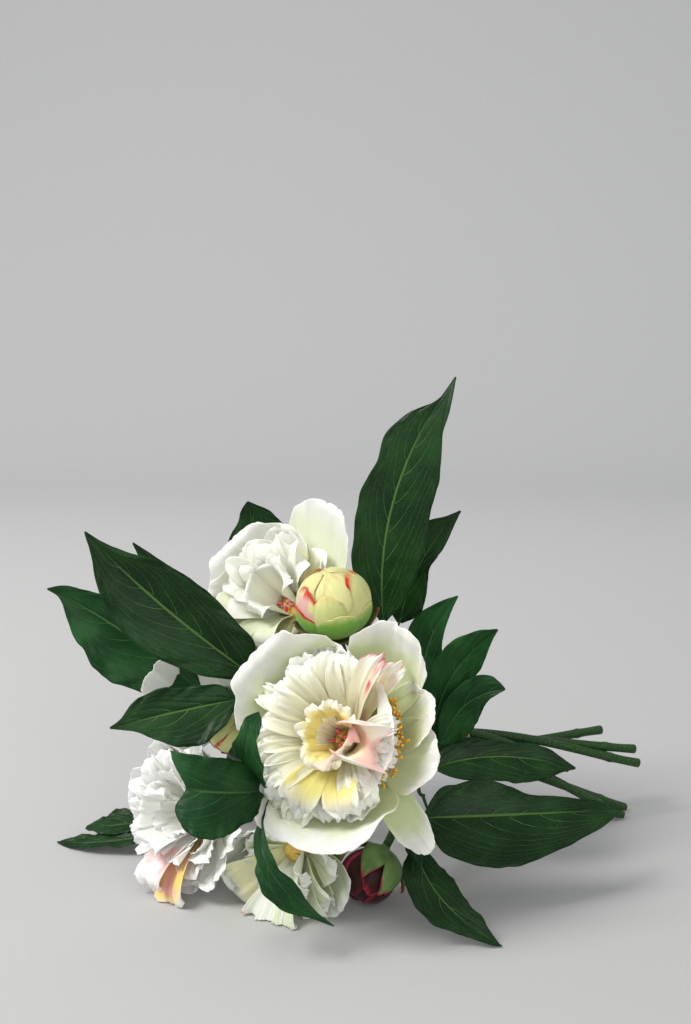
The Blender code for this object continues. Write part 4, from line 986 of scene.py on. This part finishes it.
def make_tie():
    """Three turns of two-ply twine wound round the crossing."""
    main, front, up = waist_axes()
    turns, cord = 3, 0.85
    angle = np.linspace(0, 2 * math.pi * turns, 150 * turns)
    rise = 2 * cord * (angle / (2 * math.pi) - turns / 2)
    radius = WAIST_R + STEM_R + 0.5 + cord
    line = (np.asarray(NECK) + radius * (np.cos(angle)[:, None] * front + np.sin(angle)[:, None] * up)
            + rise[:, None] * main)
    grid = tube_grid(line, np.full(len(line), cord), sides=12)
    centre = np.concatenate([line[:1], line, line[-1:]])[:, None, :]
    around = np.linspace(0, 2 * math.pi, 12, endpoint=False)[None, :]
    lay = np.concatenate([[0], angle, angle[-1:]])[:, None] * 26
    twist = 0.88 + 0.14 * np.abs(np.cos(around + lay / 2))
    skin = Skin()
    skin.add(centre + (grid - centre) * twist[..., None], closed=True)
    return skin


# ---- assembly ---------------------------------------------------------------------------
PETAL_PAINT = {"front": "petal_cream", "back": "petal_cream", "left": "petal_white",
               "low": "petal_green_white", "rear": "petal_white"}
BUD_PAINT = {"top": "bud_green", "low": "bud_maroon", "left": "bud_green"}
OPEN = {  # bloom that shows its middle: how many stamens, their reach, lean and azimuths
    "front": (120, 37, (42, 54), (-34, 40)),
    "back": (60, 28, (50, 66), (-110, -20)),
    "left": (40, 13, (34, 62), (0, 360)),
}
PETAL_TONES = {  # slot: colour at the rim, colour at the root, and what differs from the others
    "petal_cream": ((0.91, 0.90, 0.82), (0.56, 0.68, 0.30), {}),
    "petal_white": ((0.92, 0.92, 0.90), (0.70, 0.76, 0.50), {}),
    "petal_green_white": ((0.88, 0.90, 0.82), (0.50, 0.64, 0.28), {}),
    "bud_green": ((0.82, 0.78, 0.32), (0.20, 0.46, 0.06), dict(
        greens=(1.12, 0.80), warm=(0.84, 0.76, 0.30), pink=(0.80, 0.42, 0.36), rim=(0.55, 0.02, 0.02))),
    "bud_maroon": ((0.045, 0.005, 0.010), (0.02, 0.04, 0.012), dict(
        pink=(0.50, 0.035, 0.09), rim=(0.40, 0.02, 0.05))),
}
LEAF_TONES = {  # paint: dark, light and vein, and how rough it is where it differs
    "leaf": ((0.003, 0.018, 0.005), (0.009, 0.042, 0.010), (0.080, 0.175, 0.035)),
    # the leaf green at about twice the brightness: painted sheen
    "leaf_painted_sheen": ((0.005, 0.036, 0.009), (0.016, 0.078, 0.020), (0.060, 0.150, 0.045)),
    "leaf_back": ((0.030, 0.080, 0.035), (0.05, 0.12, 0.05), (0.10, 0.20, 0.09), 0.5),
}
GRAIN_TONES = {  # paint: its two tones, the scale of its grains and its roughness
    "stamen": ((0.80, 0.34, 0.02), (0.92, 0.58, 0.06), 1500.0, 0.7),
    "thread": ((0.80, 0.55, 0.12), (0.90, 0.75, 0.35), 500.0, 0.5),
    "carpel": ((0.80, 0.62, 0.30), (0.90, 0.40, 0.34), 260.0, 0.45),
    "stigma": ((0.60, 0.03, 0.10), (0.85, 0.16, 0.26), 600.0, 0.5),
    "core": ((0.75, 0.45, 0.08), (0.85, 0.62, 0.20), 300.0, 0.7),
    "tie": ((0.22, 0.15, 0.07), (0.42, 0.32, 0.18), 1800.0, 0.85),
}


def dress():
    paints = {name: petal_paint(name, white, deep, **others)
              for name, (white, deep, others) in PETAL_TONES.items()}
    paints.update({name: leaf_paint(name, *tones) for name, tones in LEAF_TONES.items()})
    paints["stem"] = stem_paint()
    paints["sepal"] = sepal_paint()
    paints.update({name: grain_paint(name, *tones) for name, tones in GRAIN_TONES.items()})

    def put(node, slot, name, skin, *looks, thick=None):
        """Builds a piece that stands in for a CAD node, in its slot's paint or in looks."""
        obj = skin.build(name, [paints[look] for look in looks or (slot,)], thick)
        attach(obj, "root")
        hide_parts(node)

    for name in BLOOMS:
        node, slot = f"bloom_{name}", PETAL_PAINT[name]
        put(node + "_petals", slot, f"{name}_guard_petals", make_guards(name), thick=SILK_THICK)
        put(node + "_petals", slot, f"{name}_inner_petals", make_inner(name), thick=SILK_THICK)
        put(node + "_petals", slot, f"{name}_core", make_core(name), "core")
        cup, sepals = make_calyx(name)
        put(node + "_calyx", "sepal", f"{name}_calyx_cup", cup)
        put(node + "_calyx", "sepal", f"{name}_calyx_sepals", sepals, thick=SEPAL_THICK)
        if name in OPEN:
            threads, grains = make_stamens(name, *OPEN[name])
            put(node + "_stamens", "stamen", f"{name}_filaments", threads, "thread")
            put(node + "_stamens", "stamen", f"{name}_anthers", grains)
            bodies, tips = make_carpels(name)
            put(node + "_carpels", "carpel", f"{name}_carpel_bodies", bodies)
            put(node + "_carpels", "carpel", f"{name}_stigmas", tips, "stigma")
    for name in BUDS:
        node = f"bud_{name}"
        petals, sepals, cup = make_bud(name)
        put(node + "_petals", BUD_PAINT[name], node + "_wraps", petals, thick=SILK_THICK)
        put(node + "_sepals", "sepal", node + "_sepal_leaves", sepals, thick=SEPAL_THICK)
        put(node + "_sepals", "sepal", node + "_cup", cup)
    for name in LEAVES:
        blades, stalks = make_leaf(name)
        upper = "leaf_painted_sheen" if name in SHEEN_LEAVES else "leaf"
        put(f"leaf_{name}", "leaf", f"{name}_leaflets", blades, upper, "leaf_back", thick=LEAF_THICK)
        put(f"leaf_{name}", "leaf", f"{name}_stalk", stalks, "stem")
    for name in STEMS:
        put(f"stem_{name}", "stem", f"{name}_stem", make_stem(name))
    put("tie", "tie", "twine", make_tie())


# ---- stage, light and camera ------------------------------------------------------------
def make_sweep():
    """A pale floor that curves up into the backdrop. Its grey is painted light: darker near the front
    and paler towards the back, where the lamps light it less.
    """
    width, front, back, bend, top = 4.0, -2.6, 2.3, 0.9, 3.2
    profile = [(front, 0.0), (back - bend, 0.0)]
    for k in range(1, 17):
        a = math.pi / 2 * k / 16
        profile.append((back - bend + bend * math.sin(a), bend * (1 - math.cos(a))))
    profile.append((back, top))
    verts = [(x, y, z) for y, z in profile for x in (-width, width)]
    faces = [(2 * i, 2 * i + 1, 2 * i + 3, 2 * i + 2) for i in range(len(profile) - 1)]
    sweep = add_mesh("sweep", verts, faces)
    shade = Shade("sweep", Specular_IOR_Level=0.1)
    depth = shade.node("SeparateXYZ", shade.place()).outputs["Y"]
    # painted light: the grey gets paler from front to back, standing in for the light's falloff
    shade.color(shade.mix(shade.ramp(depth, -0.4, 1.2), (0.455, 0.455, 0.454), (0.635, 0.635, 0.634)))
    shade.rough(0.9)
    sweep.data.materials.append(shade.paint)


def area_light(name, place, aim, size, power, color=(1, 1, 1)):
    data = bpy.data.lights.new(name, "AREA")
    data.shape = "DISK"
    data.size = size
    data.energy = power
    data.color = color
    lamp = bpy.data.objects.new(name, data)
    lamp.location = place
    way = np.asarray(aim, float) - place
    tip = math.atan2(math.hypot(way[0], way[1]), -way[2])
    lamp.rotation_euler = (tip, 0, math.atan2(-way[0], way[1]))
    bpy.context.scene.collection.objects.link(lamp)


def make_light():
    world = bpy.data.worlds.new("studio")
    world.use_nodes = True
    sky = world.node_tree.nodes["Background"].inputs
    sky["Color"].default_value = (0.97, 0.985, 1.0, 1)
    sky["Strength"].default_value = 0.60
    bpy.context.scene.world = world
    area_light("key", (-1.1, -0.5, 1.5), (0, 0, 0.1), 0.9, 30.0, (1.0, 0.985, 0.96))
    area_light("fill", (0.3, -1.6, 0.7), (0, 0, 0.12), 1.2, 8.0)
    bpy.context.scene.view_settings.view_transform = "Standard"


def make_camera():
    data = bpy.data.cameras.new("camera")
    data.lens = LENS
    data.sensor_width = 36.0
    camera = bpy.data.objects.new("camera", data)
    camera.location = EYE
    camera.rotation_euler = (math.radians(90 - LOOK_DOWN), 0, 0)
    bpy.context.scene.collection.objects.link(camera)
    bpy.context.scene.camera = camera


make_camera()
dress()
make_sweep()
make_light()
